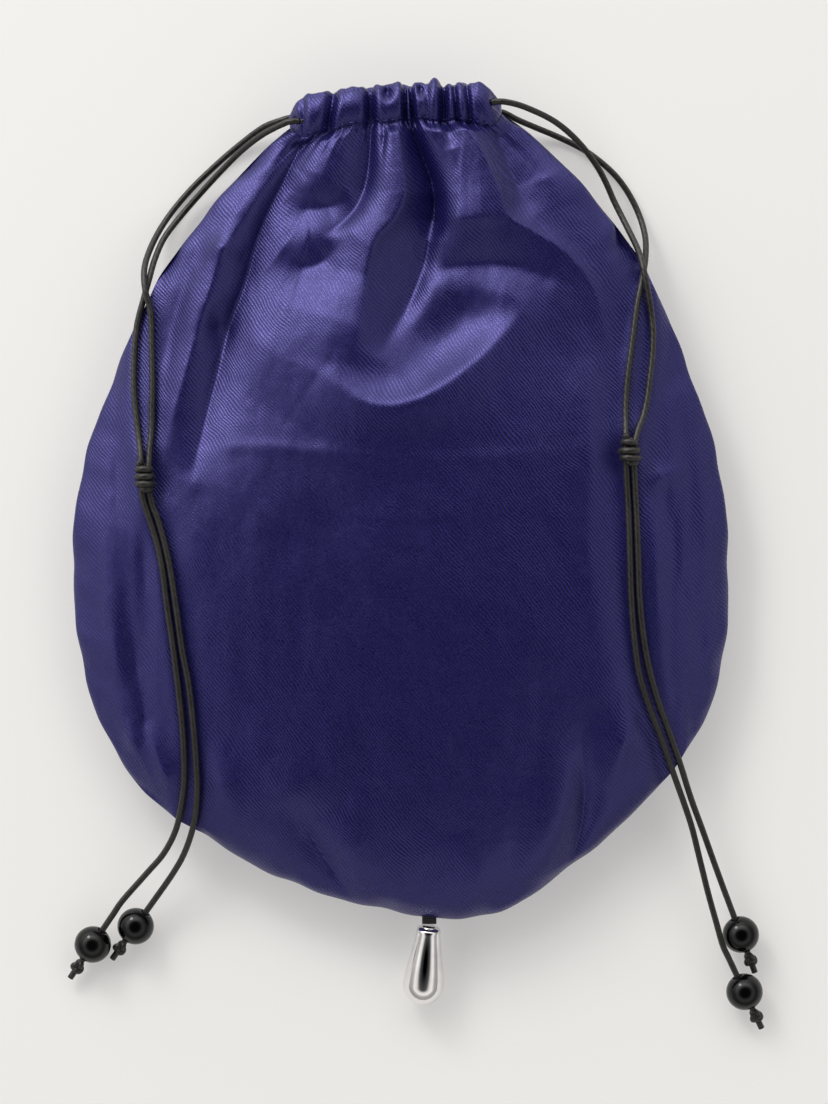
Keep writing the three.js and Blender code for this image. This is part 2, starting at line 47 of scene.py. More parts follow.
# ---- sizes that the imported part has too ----

SEAM = 12.5  # side seam above the floor
CROWN = 20.5  # top of the front above the seam
BELLY = 17  # the back's form below the seam, before the floor flattens it
WIDEST_Y = -9
NECK_Y = 130.2
CASING_MIDDLE = (-1.6, 138.3)
CASING_LEAN = math.radians(3.5)
CASING_HALF = 34  # half its length
CASING_RADIUS = 7.6  # how far it stands out, and the rounding of its ends
CASING_HEIGHT = 15.6
CORD_RADIUS = 1
LANE = 1.15  # casing's middle line to a drawcord, one above it and one below
CHANNEL_REACH = 5.0  # middle plane to a cord's middle where it leaves the casing
LEG_END = 30.4  # casing's middle to where the free strands start
BEAD_RADIUS = 5.9
BEAD_BORE = 1.5  # radius
BEAD_HEIGHT = 6.0  # of its middle above the floor
BEAD_SLOPE = math.radians(12)  # fall of a cord through its bead
END_KNOT_REACH = 9.0  # bead's middle to its end knot
CORD_TIP_REACH = 13.6  # bead's middle to the cord's tip
BEAD_RUN = 16.9  # how far before its bead a cord runs straight
DROP_TOP = 2.35  # radii of the pendant's drop, from its top down
DROP_NECK = 3.9
DROP_RADIUS = 6.6
DROP_LENGTH = 27
DROP_WIDEST = DROP_LENGTH - 1.05 * DROP_RADIUS
STRAP_HALF = 2.3
STRAP_ROOT = 2.4  # how far the strap goes up inside the seam

ROUTES = {
    "left_strand_1": [
        (-38.5, 136.6, 7), (-43.8, 134.8, 5.2), (-51.9, 129.2, 2.6), (-60.4, 122, 1.4),
        (-68.6, 113.9, 1.4), (-75.8, 104.6, 3), (-80.3, 95.2, 9), (-81.9, 88, 14.2),
        (-81.4, 81.5, 17), (-79.7, 74.8, 17.5), (-79.2, 63.5, 19), (-78.9, 53.3, 20.6),
        (-78.9, 45.2, 21.8), (-79, 37, 22.9), (-79.5, 29.5, 24.8), (-79.7, 21.7, 26.4),
        (-79, 14.5, 25.8), (-76.6, 7.7, 26), (-74.1, -1.4, 26.7), (-72.3, -10.6, 27.3),
        (-70.6, -22, 27.5), (-69, -33.4, 27.3), (-67.2, -42.6, 27), (-66.1, -51.7, 26.5),
        (-65.3, -60.9, 25.5), (-64.7, -70, 24.2), (-64.6, -79.2, 22), (-65.5, -87.2, 19.2),
        (-67.2, -93.5, 16.6), (-69.8, -99.8, 13.6), (-73, -105.2, 11.4),
    ],
    "left_strand_2": [
        (-38.2, 134.1, 16.6), (-43.8, 131.5, 14), (-50.6, 126.9, 10), (-57.8, 120.3, 6.4),
        (-64.7, 113.1, 4.2), (-70.7, 106.2, 4), (-75.9, 99, 6.4), (-78.7, 92, 10),
        (-80.4, 85, 13.8), (-82, 78.8, 15), (-84, 70.7, 15.8), (-84.8, 61.5, 17.3),
        (-84.9, 51.3, 19.1), (-84.1, 42.1, 20.7), (-83, 33.9, 22.6), (-82.3, 28, 24.8),
        (-82.1, 21.7, 26.4), (-81.4, 14.5, 25.6), (-79.2, 7.5, 25.6), (-77, 0.4, 26),
        (-75.2, -8.3, 26.6), (-74.1, -17.4, 26.8), (-72.4, -28.9, 26.8), (-71.2, -38, 26.5),
        (-70.1, -47.2, 26), (-69.2, -56.3, 25.2), (-68.7, -65.4, 24.1), (-68.7, -74.6, 22),
        (-69.9, -83.7, 18.9), (-71.9, -91.3, 16), (-75.8, -98.6, 13.2), (-81.3, -105, 11.2),
    ],
    "right_strand_1": [
        (36.4, 140.9, 16.6), (40.8, 139.6, 15), (49.6, 135.7, 11), (57, 129.8, 7.4),
        (63, 122.4, 5), (66, 117.1, 4.3), (68.7, 110.9, 4.6), (71.4, 105.2, 6.2),
        (73.9, 99.6, 9.6), (76, 94.3, 13.8), (77.4, 88.6, 17.2), (78.3, 84, 18),
        (79.4, 78, 17.8), (80.1, 73.1, 17.6), (80.5, 66.9, 18.4), (80.1, 59.6, 19.6),
        (79.3, 53.1, 20.8), (78.6, 47.7, 21.8), (77.2, 41.5, 23.3), (75.2, 36.3, 25.6),
        (73.8, 30, 27.8), (74.1, 22.5, 26.6), (74.5, 15, 26), (74.9, 6, 26.4),
        (75.3, -6, 26.6), (75.6, -15, 26.5), (76.5, -25.1, 26.1), (78.4, -37, 24.9),
        (81.7, -49, 22.7), (85.6, -59.6, 19.2), (89.2, -69.5, 16), (92.9, -80.8, 12.8),
        (96.7, -91, 11.2), (100, -100.2, 10.4),
    ],
    "right_strand_2": [
        (37.7, 136.8, 6.6), (43, 134.8, 4.4), (51.7, 131.4, 1.9), (59.6, 127.4, 1.4),
        (67.1, 121.6, 1.4), (71.2, 117.1, 1.4), (74.8, 111.4, 1.5), (77.4, 105.2, 2.8),
        (78.7, 99.1, 6), (78.6, 93.4, 10.4), (77.8, 88, 14.2), (76.6, 82.4, 16.7),
        (75.5, 77.2, 18.1), (74.6, 71, 19.3), (73.6, 63.7, 20.6), (72.8, 58, 21.7),
        (72.1, 52.3, 22.6), (71.6, 46.5, 23.4), (71.4, 40, 24.9), (71.4, 35, 26.8),
        (71.4, 30, 27.8), (71.6, 22.5, 26.8), (72, 15, 26.4), (72.4, 6, 26.8),
        (72.7, -6, 27.1), (73, -15, 27), (73.9, -27.7, 26.5), (75.8, -41, 25.1),
        (79.2, -51.8, 22.9), (83.3, -62.2, 19.5), (87.2, -73, 16), (90.5, -82, 13.4),
        (93.2, -90, 12), (96, -101, 10.8), (98.6, -111.4, 10.2), (101, -120, 9.8),
    ],
}
# Each bead's middle in plan, and its cord's heading there in degrees.
BEADS = {
    "left_strand_1": (-85.2, -122.4, -125.6),
    "left_strand_2": (-99, -128.3, -124.1),
    "right_strand_1": (109.4, -125.1, -69),
    "right_strand_2": (110.6, -143.5, -64.5),
}
# Each tying knot's middle, and its heading in degrees.
KNOTS = {"left": (-80.9, 21.7, 26.4, -88), "right": (72.6, 30, 27.8, -90)}
PENDANT_TOP = (9.2, -121.1, 12.5)


# ---- numbers ----

def smoothstep(x, low, high):
    share = np.clip((x - low) / (high - low), 0, 1)
    return share * share * (3 - 2 * share)


def bezier(points, count):
    a, b, c, d = (np.array(p, float) for p in points)
    t = np.linspace(0, 1, count)[:, None]
    return (1 - t) ** 3 * a + 3 * (1 - t) ** 2 * t * b + 3 * (1 - t) * t * t * c + t ** 3 * d


def through(points, per=8):
    """A smooth line through points that doesn't overshoot where they are uneven."""
    p = np.array(points, float)
    p = np.vstack([2 * p[0] - p[1], p, 2 * p[-1] - p[-2]])
    found = [p[1]]
    for i in range(1, len(p) - 2):
        q = p[i - 1:i + 3]
        d = [max(np.linalg.norm(q[k + 1] - q[k]) ** 0.5, 1e-4) for k in range(3)]
        first = (q[1] - q[0]) / d[0] - (q[2] - q[0]) / (d[0] + d[1]) + (q[2] - q[1]) / d[1]
        last = (q[2] - q[1]) / d[1] - (q[3] - q[1]) / (d[1] + d[2]) + (q[3] - q[2]) / d[2]
        first, last = first * d[1], last * d[1]
        for k in range(1, per + 1):
            t = k / per
            found.append(
                q[1] + first * t
                + (3 * (q[2] - q[1]) - 2 * first - last) * t * t
                + (2 * (q[1] - q[2]) + first + last) * t ** 3
            )
    return np.array(found)


def spaced(line, share):
    """Points at shares of a line's length."""
    steps = np.linalg.norm(np.diff(line, axis=0), axis=1)
    along = np.concatenate([[0], np.cumsum(steps)])
    return np.stack(
        [np.interp(share * along[-1], along, line[:, k]) for k in range(line.shape[1])], axis=-1
    )


def waves(t, seed, rates, sizes):
    """A fixed irregular ripple."""
    turn = np.random.default_rng(seed).uniform(0, 2 * math.pi, len(rates))
    return sum(size * np.sin(rate * t + p) for rate, size, p in zip(rates, sizes, turn))


def noise(x, y, cell, seed):
    """Smooth noise from -1 to 1 with features about a cell wide."""
    table = np.random.default_rng(seed).uniform(-1, 1, (128, 128))
    fx, fy = x / cell[0] + 64, y / cell[1] + 64
    ix, iy = np.floor(fx).astype(int), np.floor(fy).astype(int)
    tx, ty = fx - ix, fy - iy
    tx, ty = tx * tx * (3 - 2 * tx), ty * ty * (3 - 2 * ty)
    a = table[ix % 128, iy % 128] * (1 - tx) + table[(ix + 1) % 128, iy % 128] * tx
    b = table[ix % 128, (iy + 1) % 128] * (1 - tx) + table[(ix + 1) % 128, (iy + 1) % 128] * tx
    return a * (1 - ty) + b * ty


def near_line(x, y, line):
    """Distance to a line in plan, positive on the right-hand side of a line that runs
    down the page, and the place along it (a whole number at each of its points)."""
    best = np.full(x.shape, 1e9)
    side = np.zeros(x.shape)
    place = np.zeros(x.shape)
    for i in range(len(line) - 1):
        ax, ay = line[i][:2]
        dx, dy = line[i + 1][:2] - line[i][:2]
        t = np.clip(((x - ax) * dx + (y - ay) * dy) / max(dx * dx + dy * dy, 1e-9), 0, 1)
        gx, gy = x - ax - t * dx, y - ay - t * dy
        distance = np.hypot(gx, gy)
        closer = distance < best
        best = np.where(closer, distance, best)
        side = np.where(closer, np.sign(dx * gy - dy * gx), side)
        place = np.where(closer, i + t, place)
    return best * np.where(side == 0, 1, side), place


# ---- meshes ----

def make(name, points, faces, material, uv=None):
    mesh = bpy.data.meshes.new(name)
    mesh.from_pydata([tuple(p) for p in np.asarray(points) * MM], [], faces)
    if uv is not None:
        layer = mesh.uv_layers.new(name="UVMap")
        layer.data.foreach_set("uv", np.asarray(uv, dtype=np.float32).ravel())
    mesh.polygons.foreach_set("use_smooth", [True] * len(mesh.polygons))
    mesh.update()
    obj = bpy.data.objects.new(name, mesh)
    scene.collection.objects.link(obj)
    mesh.materials.append(material)
    return obj


def grid(name, points, material, flip=False):
    rows, columns = points.shape[:2]
    index = np.arange(rows * columns).reshape(rows, columns)
    corners = [index[:-1, :-1], index[1:, :-1], index[1:, 1:], index[:-1, 1:]]
    if flip:
        corners.reverse()
    faces = np.stack(corners, axis=-1).reshape(-1, 4)
    return make(name, points.reshape(-1, 3), faces.tolist(), material)


def tube_parts(path, radius, sides):
    """Points, faces and corner coordinates of a round tube with closed ends."""
    path = np.asarray(path, float)
    count = len(path)
    tangent = np.gradient(path, axis=0)
    tangent /= np.linalg.norm(tangent, axis=1)[:, None]
    normal = np.cross(tangent[0], (0, 0, 1))
    if np.linalg.norm(normal) < 1e-3:
        normal = np.cross(tangent[0], (0, 1, 0))
    points = []
    for i in range(count):
        normal = normal - tangent[i] * np.dot(normal, tangent[i])
        normal /= np.linalg.norm(normal)
        other = np.cross(tangent[i], normal)
        for k in range(sides):
            angle = 2 * math.pi * k / sides
            points.append(path[i] + radius * (math.cos(angle) * normal + math.sin(angle) * other))
    steps = np.linalg.norm(np.diff(path, axis=0), axis=1)
    along = np.concatenate([[0], np.cumsum(steps)])
    faces = []
    uv = []
    for i in range(count - 1):
        for k in range(sides):
            n = (k + 1) % sides
            faces.append((i * sides + k, i * sides + n, (i + 1) * sides + n, (i + 1) * sides + k))
            low, high = k / sides, (k + 1) / sides
            uv += [(low, along[i]), (high, along[i]), (high, along[i + 1]), (low, along[i + 1])]
    faces.append(tuple(range(sides - 1, -1, -1)))
    faces.append(tuple((count - 1) * sides + k for k in range(sides)))
    uv += [(0, 0)] * sides + [(0, along[-1])] * sides
    return points, faces, uv


def tube(name, path, radius, material, sides=14):
    points, faces, uv = tube_parts(path, radius, sides)
    return make(name, points, faces, material, uv)


def several_tubes(name, paths, radius, material, sides):
    points, faces, uv = [], [], []
    for path in paths:
        more, there, corners = tube_parts(path, radius, sides)
        faces += [tuple(i + len(points) for i in face) for face in there]
        points += more
        uv += corners
    return make(name, points, faces, material, uv)


def lathe(name, profile, origin, axis, material, segments=64):
    """A profile of (radius, height) turned round an axis; it starts and ends on the axis
    or closes on itself."""
    turn = Vector((0, 0, 1)).rotation_difference(Vector(axis)).to_matrix()
    closed = profile[0] == profile[-1]
    ring = profile[:-1] if closed else profile
    points, faces = [], []
    start = []
    for radius, height in ring:
        start.append(len(points))
        count = 1 if radius == 0 else segments
        for k in range(count):
            angle = 2 * math.pi * k / segments
            local = Vector((radius * math.cos(angle), radius * math.sin(angle), height))
            points.append(turn @ local + Vector(origin))
    pairs = list(zip(range(len(ring)), range(1, len(ring))))
    if closed:
        pairs.append((len(ring) - 1, 0))
    for low, high in pairs:
        for k in range(segments):
            n = (k + 1) % segments
            a = [start[low] + k, start[low] + n] if ring[low][0] else [start[low]]
            b = [start[high] + n, start[high] + k] if ring[high][0] else [start[high]]
            faces.append(tuple(a + b))
    return make(name, np.array(points), faces, material)


# ---- materials ----

def material(name, **sockets):
    made = bpy.data.materials.new(name)
    made.use_nodes = True
    shader = made.node_tree.nodes["Principled BSDF"]
    for socket, value in sockets.items():
        shader.inputs[socket.replace("_", " ")].default_value = value
    return made, made.node_tree, shader


def math_node(tree, kind, *inputs):
    node = tree.nodes.new("ShaderNodeMath")
    node.operation = kind
    for socket, value in zip(node.inputs, inputs):
        if isinstance(value, (int, float)):
            socket.default_value = value
        else:
            tree.links.new(value, socket)
    return node.outputs[0]


def noise_node(tree, vector, scale, detail, roughness=0.5):
    node = tree.nodes.new("ShaderNodeTexNoise")
    node.inputs["Scale"].default_value = scale
    node.inputs["Detail"].default_value = detail
    node.inputs["Roughness"].default_value = roughness
    tree.links.new(vector, node.inputs["Vector"])
    return node.outputs["Fac"]


def ramp_node(tree, value, stops):
    node = tree.nodes.new("ShaderNodeValToRGB")
    ramp = node.color_ramp
    ramp.elements[0].position, ramp.elements[0].color = stops[0][0], (*stops[0][1], 1)
    ramp.elements[1].position, ramp.elements[1].color = stops[-1][0], (*stops[-1][1], 1)
    for position, colour in stops[1:-1]:
        ramp.elements.new(position).color = (*colour, 1)
    tree.links.new(value, node.inputs["Fac"])
    return node.outputs["Color"]


def apart(tree, vector):
    split = tree.nodes.new("ShaderNodeSeparateXYZ")
    tree.links.new(vector, split.inputs[0])
    return split.outputs


def base_colour(tree, shader, value, stops):
    tree.links.new(ramp_node(tree, value, stops), shader.inputs["Base Color"])


def bump(tree, height, shader, distance, strength=1.0):
    node = tree.nodes.new("ShaderNodeBump")
    node.inputs["Strength"].default_value = strength
    node.inputs["Distance"].default_value = distance
    tree.links.new(height, node.inputs["Height"])
    tree.links.new(node.outputs["Normal"], shader.inputs["Normal"])


TWILL_STEP = 1.2445  # from one rib to the next, along X


def satin(name, dark, light, shine):
    """Satin twill: fine diagonal ribs, a slubby grain and a lilac sheen."""
    made, tree, shader = material(
        name,
        IOR=1.8,
        Specular_IOR_Level=shine,
        Specular_Tint=(0.4, 0.37, 1.0, 1),
        Sheen_Weight=0.03,
        Sheen_Roughness=0.3,
        Sheen_Tint=(0.4, 0.36, 1.0, 1),
    )
    place = tree.nodes.new("ShaderNodeTexCoord").outputs["Object"]
    x, y, z = apart(tree, place)
    drift = noise_node(tree, place, 70, 2)
    across = math_node(tree, "MULTIPLY_ADD", y, 0.85, x)
    across = math_node(tree, "MULTIPLY_ADD", z, 0.2, across)
    across = math_node(tree, "MULTIPLY_ADD", drift, 0.006, across)
    turns = math_node(tree, "MULTIPLY", across, 2 * math.pi / (TWILL_STEP * MM))
    rib = math_node(tree, "SINE", turns)
    rib = math_node(tree, "MULTIPLY_ADD", rib, 0.5, 0.5)
    slub = noise_node(tree, place, 2600, 3, 0.6)
    patch = noise_node(tree, place, 26, 3, 0.55)
    tone = math_node(tree, "MULTIPLY_ADD", rib, 0.5, -0.02)
    tone = math_node(tree, "MULTIPLY_ADD", slub, 0.6, tone)
    tone = math_node(tree, "MULTIPLY_ADD", patch, 0.16, tone)
    base_colour(tree, shader, tone, [(0.3, dark), (0.85, light)])
    rough = math_node(tree, "MULTIPLY_ADD", slub, 0.6, 0.08)
    rough = math_node(tree, "MULTIPLY_ADD", rib, -0.11, rough)
    tree.links.new(rough, shader.inputs["Roughness"])
    relief = math_node(tree, "MULTIPLY_ADD", slub, 1.6, rib)
    bump(tree, relief, shader, 0.000055)
    return made


def waxed_cord(name):
    """Waxed cotton cord: dark grey, twisted, with a worn waxy bloom."""
    made, tree, shader = material(
        name,
        Specular_IOR_Level=0.5,
        Sheen_Weight=0.04,
        Sheen_Roughness=0.5,
        Sheen_Tint=(0.8, 0.78, 0.75, 1),
    )
    place = tree.nodes.new("ShaderNodeTexCoord")
    around, along, _ = apart(tree, place.outputs["UV"])
    plies, pitch = 3, 2.4  # millimetres, as along is
    twist = math_node(tree, "MULTIPLY", along, 2 * math.pi / pitch)
    twist = math_node(tree, "MULTIPLY_ADD", around, 2 * math.pi * plies, twist)
    twist = math_node(tree, "SINE", twist)
    twist = math_node(tree, "MULTIPLY_ADD", twist, 0.5, 0.5)
    wax = noise_node(tree, place.outputs["Object"], 420, 4, 0.6)
    fibre = noise_node(tree, place.outputs["Object"], 3000, 2, 0.6)
    tone = math_node(tree, "MULTIPLY_ADD", twist, 0.25, wax)
    dark, worn = (0.004, 0.0037, 0.0034), (0.022, 0.02, 0.018)
    base_colour(tree, shader, tone, [(0.3, dark), (0.95, worn)])
    tree.links.new(math_node(tree, "MULTIPLY_ADD", wax, 0.35, 0.25), shader.inputs["Roughness"])
    relief = math_node(tree, "MULTIPLY_ADD", fibre, 0.5, twist)
    bump(tree, relief, shader, 0.00006, 0.7)
    return made


def polished(name, colour, roughness, metallic, specular):
    """Something glossy with faint handling marks."""
    made, tree, shader = material(
        name,
        Metallic=metallic,
        Specular_IOR_Level=specular,
    )
    place = tree.nodes.new("ShaderNodeTexCoord").outputs["Object"]
    smear = noise_node(tree, place, 180, 4, 0.6)
    speck = noise_node(tree, place, 1500, 2, 0.6)
    brighter = tuple(min(1, c * 1.12 + 0.002) for c in colour)
    base_colour(tree, shader, smear, [(0.35, colour), (0.7, brighter)])
    rough = math_node(tree, "MULTIPLY_ADD", smear, 0.06, roughness)
    tree.links.new(rough, shader.inputs["Roughness"])
    bump(tree, speck, shader, 0.000004, 0.4)
    return made


def webbing(name):
    """Black woven strap with fine cross ribs."""
    made, tree, shader = material(name, Roughness=0.6, Sheen_Weight=0.2)
    place = tree.nodes.new("ShaderNodeTexCoord").outputs["Object"]
    _, y, _ = apart(tree, place)
    rib_pitch = 0.5 * MM
    rib = math_node(tree, "MULTIPLY", y, 2 * math.pi / rib_pitch)
    rib = math_node(tree, "SINE", rib)
    grain = noise_node(tree, place, 2200, 2)
    relief = math_node(tree, "MULTIPLY_ADD", grain, 0.6, rib)
    dark, light = (0.006, 0.006, 0.006), (0.02, 0.019, 0.019)
    base_colour(tree, shader, grain, [(0.3, dark), (0.8, light)])
    bump(tree, relief, shader, 0.00004)
    return made


def tabletop(name):
    """A pale table top with a painted glow: its emission softly fills the shadows."""
    made, tree, shader = material(
        name,
        Roughness=0.7,
        Specular_IOR_Level=0.2,
        # painted glow: this emission lifts the shadows on the floor and is not a lamp
        Emission_Color=(1, 0.985, 0.97, 1),
        Emission_Strength=0.3,
    )
    place = tree.nodes.new("ShaderNodeTexCoord").outputs["Object"]
    cloud = noise_node(tree, place, 3, 2)
    dark, light = (0.60, 0.592, 0.575), (0.62, 0.612, 0.597)
    base_colour(tree, shader, cloud, [(0.3, dark), (0.7, light)])
    return made


SATIN = satin("indigo_satin", (0.001, 0.001, 0.008), (0.012, 0.011, 0.1), 0.6)
LINING = satin("indigo_lining", (0.001, 0.001, 0.01), (0.008, 0.007, 0.06), 0.3)
THREAD = satin("indigo_thread", (0.004, 0.004, 0.03), (0.02, 0.018, 0.13), 0.6)
CORD = waxed_cord("waxed_cord")
BEAD = polished("black_bead", (0.001, 0.001, 0.0012), 0.06, 0.0, 0.3)
STRAP = webbing("black_strap")
CHROME = polished("polished_metal", (0.8, 0.78, 0.775), 0.03, 1.0, 0.5)
TABLE = tabletop("pale_table_painted_glow")


# ---- camera, lights, floor ----

def add_camera():
    data = bpy.data.cameras.new("camera")
    data.sensor_fit = "VERTICAL"
    data.sensor_height = 36
    data.lens = 131.2
    data.clip_start = 0.05
    camera = bpy.data.objects.new("camera", data)
    camera.location = (0.00432, -0.00208, 1.3)
    scene.collection.objects.link(camera)
    scene.camera = camera


def add_light(name, place, size, power, colour):
    data = bpy.data.lights.new(name, "AREA")
    data.shape = "DISK"
    data.size = size
    data.energy = power
    data.color = colour
    light = bpy.data.objects.new(name, data)
    light.location = place
    light.rotation_euler = (-Vector(place)).to_track_quat("-Z", "Y").to_euler()
    scene.collection.objects.link(light)


def add_stage():
    floor = make(
        "floor",
        [(-3000, -3000, 0), (3000, -3000, 0), (3000, 3000, 0), (-3000, 3000, 0)],
        [(0, 1, 2, 3)],
        TABLE,
    )
    add_light("key", (-0.58, 0.92, 0.7), 0.4, 4.4, (1, 0.985, 0.965))
    add_world()
    scene.view_settings.view_transform = "Standard"


def add_world():
    """A studio that is brightest beyond the pouch's mouth and dark straight above."""
    world = bpy.data.worlds.new("studio")
    world.use_nodes = True
    tree = world.node_tree
    back = tree.nodes["Background"]
    x, y, z = apart(tree, tree.nodes.new("ShaderNodeTexCoord").outputs["Generated"])
    towards = math_node(tree, "MULTIPLY", x, -0.36)
    towards = math_node(tree, "MULTIPLY_ADD", y, 0.92, towards)
    towards = math_node(tree, "MAXIMUM", towards, 0.0)
    towards = math_node(tree, "POWER", towards, 2.0)
    tree.links.new(math_node(tree, "MULTIPLY_ADD", towards, 4.4, 0.98), back.inputs["Strength"])
    glow = ramp_node(tree, z, [
        (0.0, (0.34, 0.335, 0.33)), (0.36, (0.42, 0.415, 0.41)), (0.56, (1, 0.99, 0.98)),
        (0.72, (0.8, 0.79, 0.78)), (0.84, (0.1, 0.1, 0.1)), (0.95, (0.0, 0.0, 0.0)),
    ])
    tree.links.new(glow, back.inputs["Color"])
    scene.world = world


# ---- cords ----

def on_leg(side, face, reach):
    """A place on the straight part of a cord that leaves the casing."""
    flat = np.array([side * reach, side * face * LANE])
    c, s = math.cos(CASING_LEAN), math.sin(CASING_LEAN)
    x = CASING_MIDDLE[0] + c * flat[0] - s * flat[1]
    y = CASING_MIDDLE[1] + s * flat[0] + c * flat[1]
    return (x, y, SEAM + face * CHANNEL_REACH)


def on_bead_run(bead, distance):
    """A place on the straight part of a cord, from its bead's middle towards the tip."""
    heading = math.radians(bead[2])
    flat = distance * math.cos(BEAD_SLOPE)
    return (
        bead[0] + flat * math.cos(heading),
        bead[1] + flat * math.sin(heading),
        BEAD_HEIGHT - distance * math.sin(BEAD_SLOPE),
    )


def strand_points(name, side, face):
    bead = BEADS[name]
    points = [on_leg(side, face, LEG_END + 0.3), on_leg(side, face, 34), *ROUTES[name]]
    points += [on_bead_run(bead, -i * BEAD_RUN / 4) for i in (4, 3, 2, 1, 0, -1)]
    tip = on_bead_run(bead, CORD_TIP_REACH)
    return points + [on_bead_run(bead, END_KNOT_REACH), (tip[0], tip[1], max(tip[2], 1.3))]


def strand_sides(label):
    """Number, side and face of each free strand."""
    side = -1 if label == "left" else 1
    return [(1, side, side), (2, side, -side)]


STRANDS = {
    f"{label}_strand_{number}": through(strand_points(f"{label}_strand_{number}", side, face))
    for label in ("left", "right")
    for number, side, face in strand_sides(label)
}


def frame_along(heading, slope=0.0):
    """Along, across and up for something that lies that way."""
    along = Vector((
        math.cos(heading) * math.cos(slope), math.sin(heading) * math.cos(slope), -math.sin(slope),
    ))
    across = Vector((-math.sin(heading), math.cos(heading), 0))
    return along, across, along.cross(across)


def wraps(at, heading, stops):
    """A cord wound round two strands: stops are (place along, radius) once a turn."""
    along, across, up = frame_along(heading)
    points = []
    turns = len(stops) - 1
    per_turn = 14
    for i in range(turns * per_turn + 1):
        t = i / per_turn
        k = min(int(t), turns - 1)
        share = t - k
        place = stops[k][0] * (1 - share) + stops[k + 1][0] * share
        radius = stops[k][1] * (1 - share) + stops[k + 1][1] * share
        angle = 2 * math.pi * t + 2.2
        tilt = 0.55 * math.cos(angle)
        points.append(
            Vector(at) + along * (place + tilt)
            + across * (radius * math.cos(angle)) + up * (radius * math.sin(angle))
        )
    return through([tuple(p) for p in points], 2)


def overhand(at, heading, slope, size):
    """A tight overhand knot."""
    along, across, up = frame_along(heading, slope)
    points = []
    count = 50
    for i in range(count - 1):
        t = 2 * math.pi * (i + 0.5) / count
        x = math.sin(t) + 2 * math.sin(2 * t)
        y = math.cos(t) - 2 * math.cos(2 * t)
        z = -math.sin(3 * t)
        points.append(
            Vector(at) + along * (y * size * 1.06) + across * (x * size * 0.9) + up * (z * size * 1.1)
        )
    return through([tuple(p) for p in points], 2)


def bead_profile():
    """From inside the bore over the outside and back, with rounded bore edges."""
    rim = 0.35
    points = []
    start = math.asin((BEAD_BORE + rim) / BEAD_RADIUS)
    for i in range(41):
        angle = start + (math.pi - 2 * start) * i / 40
        points.append((BEAD_RADIUS * math.sin(angle), -BEAD_RADIUS * math.cos(angle)))
    top = BEAD_RADIUS * math.cos(start)
    lip = [(BEAD_BORE + 0.1, top - 0.08), (BEAD_BORE, top - 0.35)]
    inside = [(r, h) for r, h in lip] + [(r, -h) for r, h in reversed(lip)]
    return points + inside + [points[0]]


def declare(piece, node, body):
    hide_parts(node)
    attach(piece, body)


# Where each turn of a tying knot lies along it, and its radius.
KNOT_STOPS = {
    "left": [(-4.0, 1.5), (-2.2, 2.0), (0.2, 2.25), (2.5, 2.3), (4.0, 1.3)],
    "right": [(-4.0, 1.4), (-2.4, 1.9), (0.4, 2.7), (2.6, 2.5), (3.9, 1.2)],
}
WRAP_RADIUS = 1.12  # of the cord where it is wound, flattened a little
END_TURN_RADIUS = 0.92  # of the cord where it is pulled tight


def add_tying_knot(label):
    x, y, z, heading = KNOTS[label]
    knot = tube(
        f"{label}_knot_turns",
        wraps((x, y, z), math.radians(heading), KNOT_STOPS[label]),
        WRAP_RADIUS,
        CORD,
    )
    declare(knot, f"{label}_cord_knot", f"{label}_drawcord")
    return knot


def add_bead(label, number, bead):
    run = frame_along(math.radians(bead[2]), BEAD_SLOPE)[0]
    ball = lathe(
        f"{label}_round_bead_{number}", bead_profile(), (bead[0], bead[1], BEAD_HEIGHT), run, BEAD
    )
    declare(ball, f"{label}_bead_{number}", f"{label}_bead_{number}")
    return ball


def add_end_knot(label, number, bead):
    end = tube(
        f"{label}_end_turns_{number}",
        overhand(on_bead_run(bead, END_KNOT_REACH), math.radians(bead[2]), BEAD_SLOPE, 0.56),
        END_TURN_RADIUS,
        CORD,
    )
    declare(end, f"{label}_end_knot_{number}", f"{label}_drawcord")
    return end


def add_cords(label):
    knot = add_tying_knot(label)
    for number in (1, 2):
        name = f"{label}_strand_{number}"
        line = STRANDS[name]
        cord = tube(f"{label}_cord_{number}", line, CORD_RADIUS, CORD, 16)
        declare(cord, name, f"{label}_drawcord")
        ball = add_bead(label, number, BEADS[name])
        end = add_end_knot(label, number, BEADS[name])


# ---- pouch ----

# Outline, mouth at the top: the shoulders, then the lower sides, then the base.
LEFT_SHOULDER = [(-35.2, 130.9), (-62, 116), (-104, 56), (-105.4, -9)]
RIGHT_SHOULDER = [(31.5, 133.9), (65, 122), (103, 60), (105.4, -8)]
LEFT_SIDE = [(-105.4, -9), (-104, -38), (-95, -66), (-82, -79)]
RIGHT_SIDE = [(105.4, -8), (106, -36), (98, -64), (80, -79.5)]
LEFT_BASE = [(-82, -79), (-62, -97), (-30, -112), (4, -119.4)]
RIGHT_BASE = [(4, -119.4), (20, -122.4), (44, -119), (80, -79.5)]
BASE_STRETCH = 0.56  # how far down the pouch it starts to close towards its base

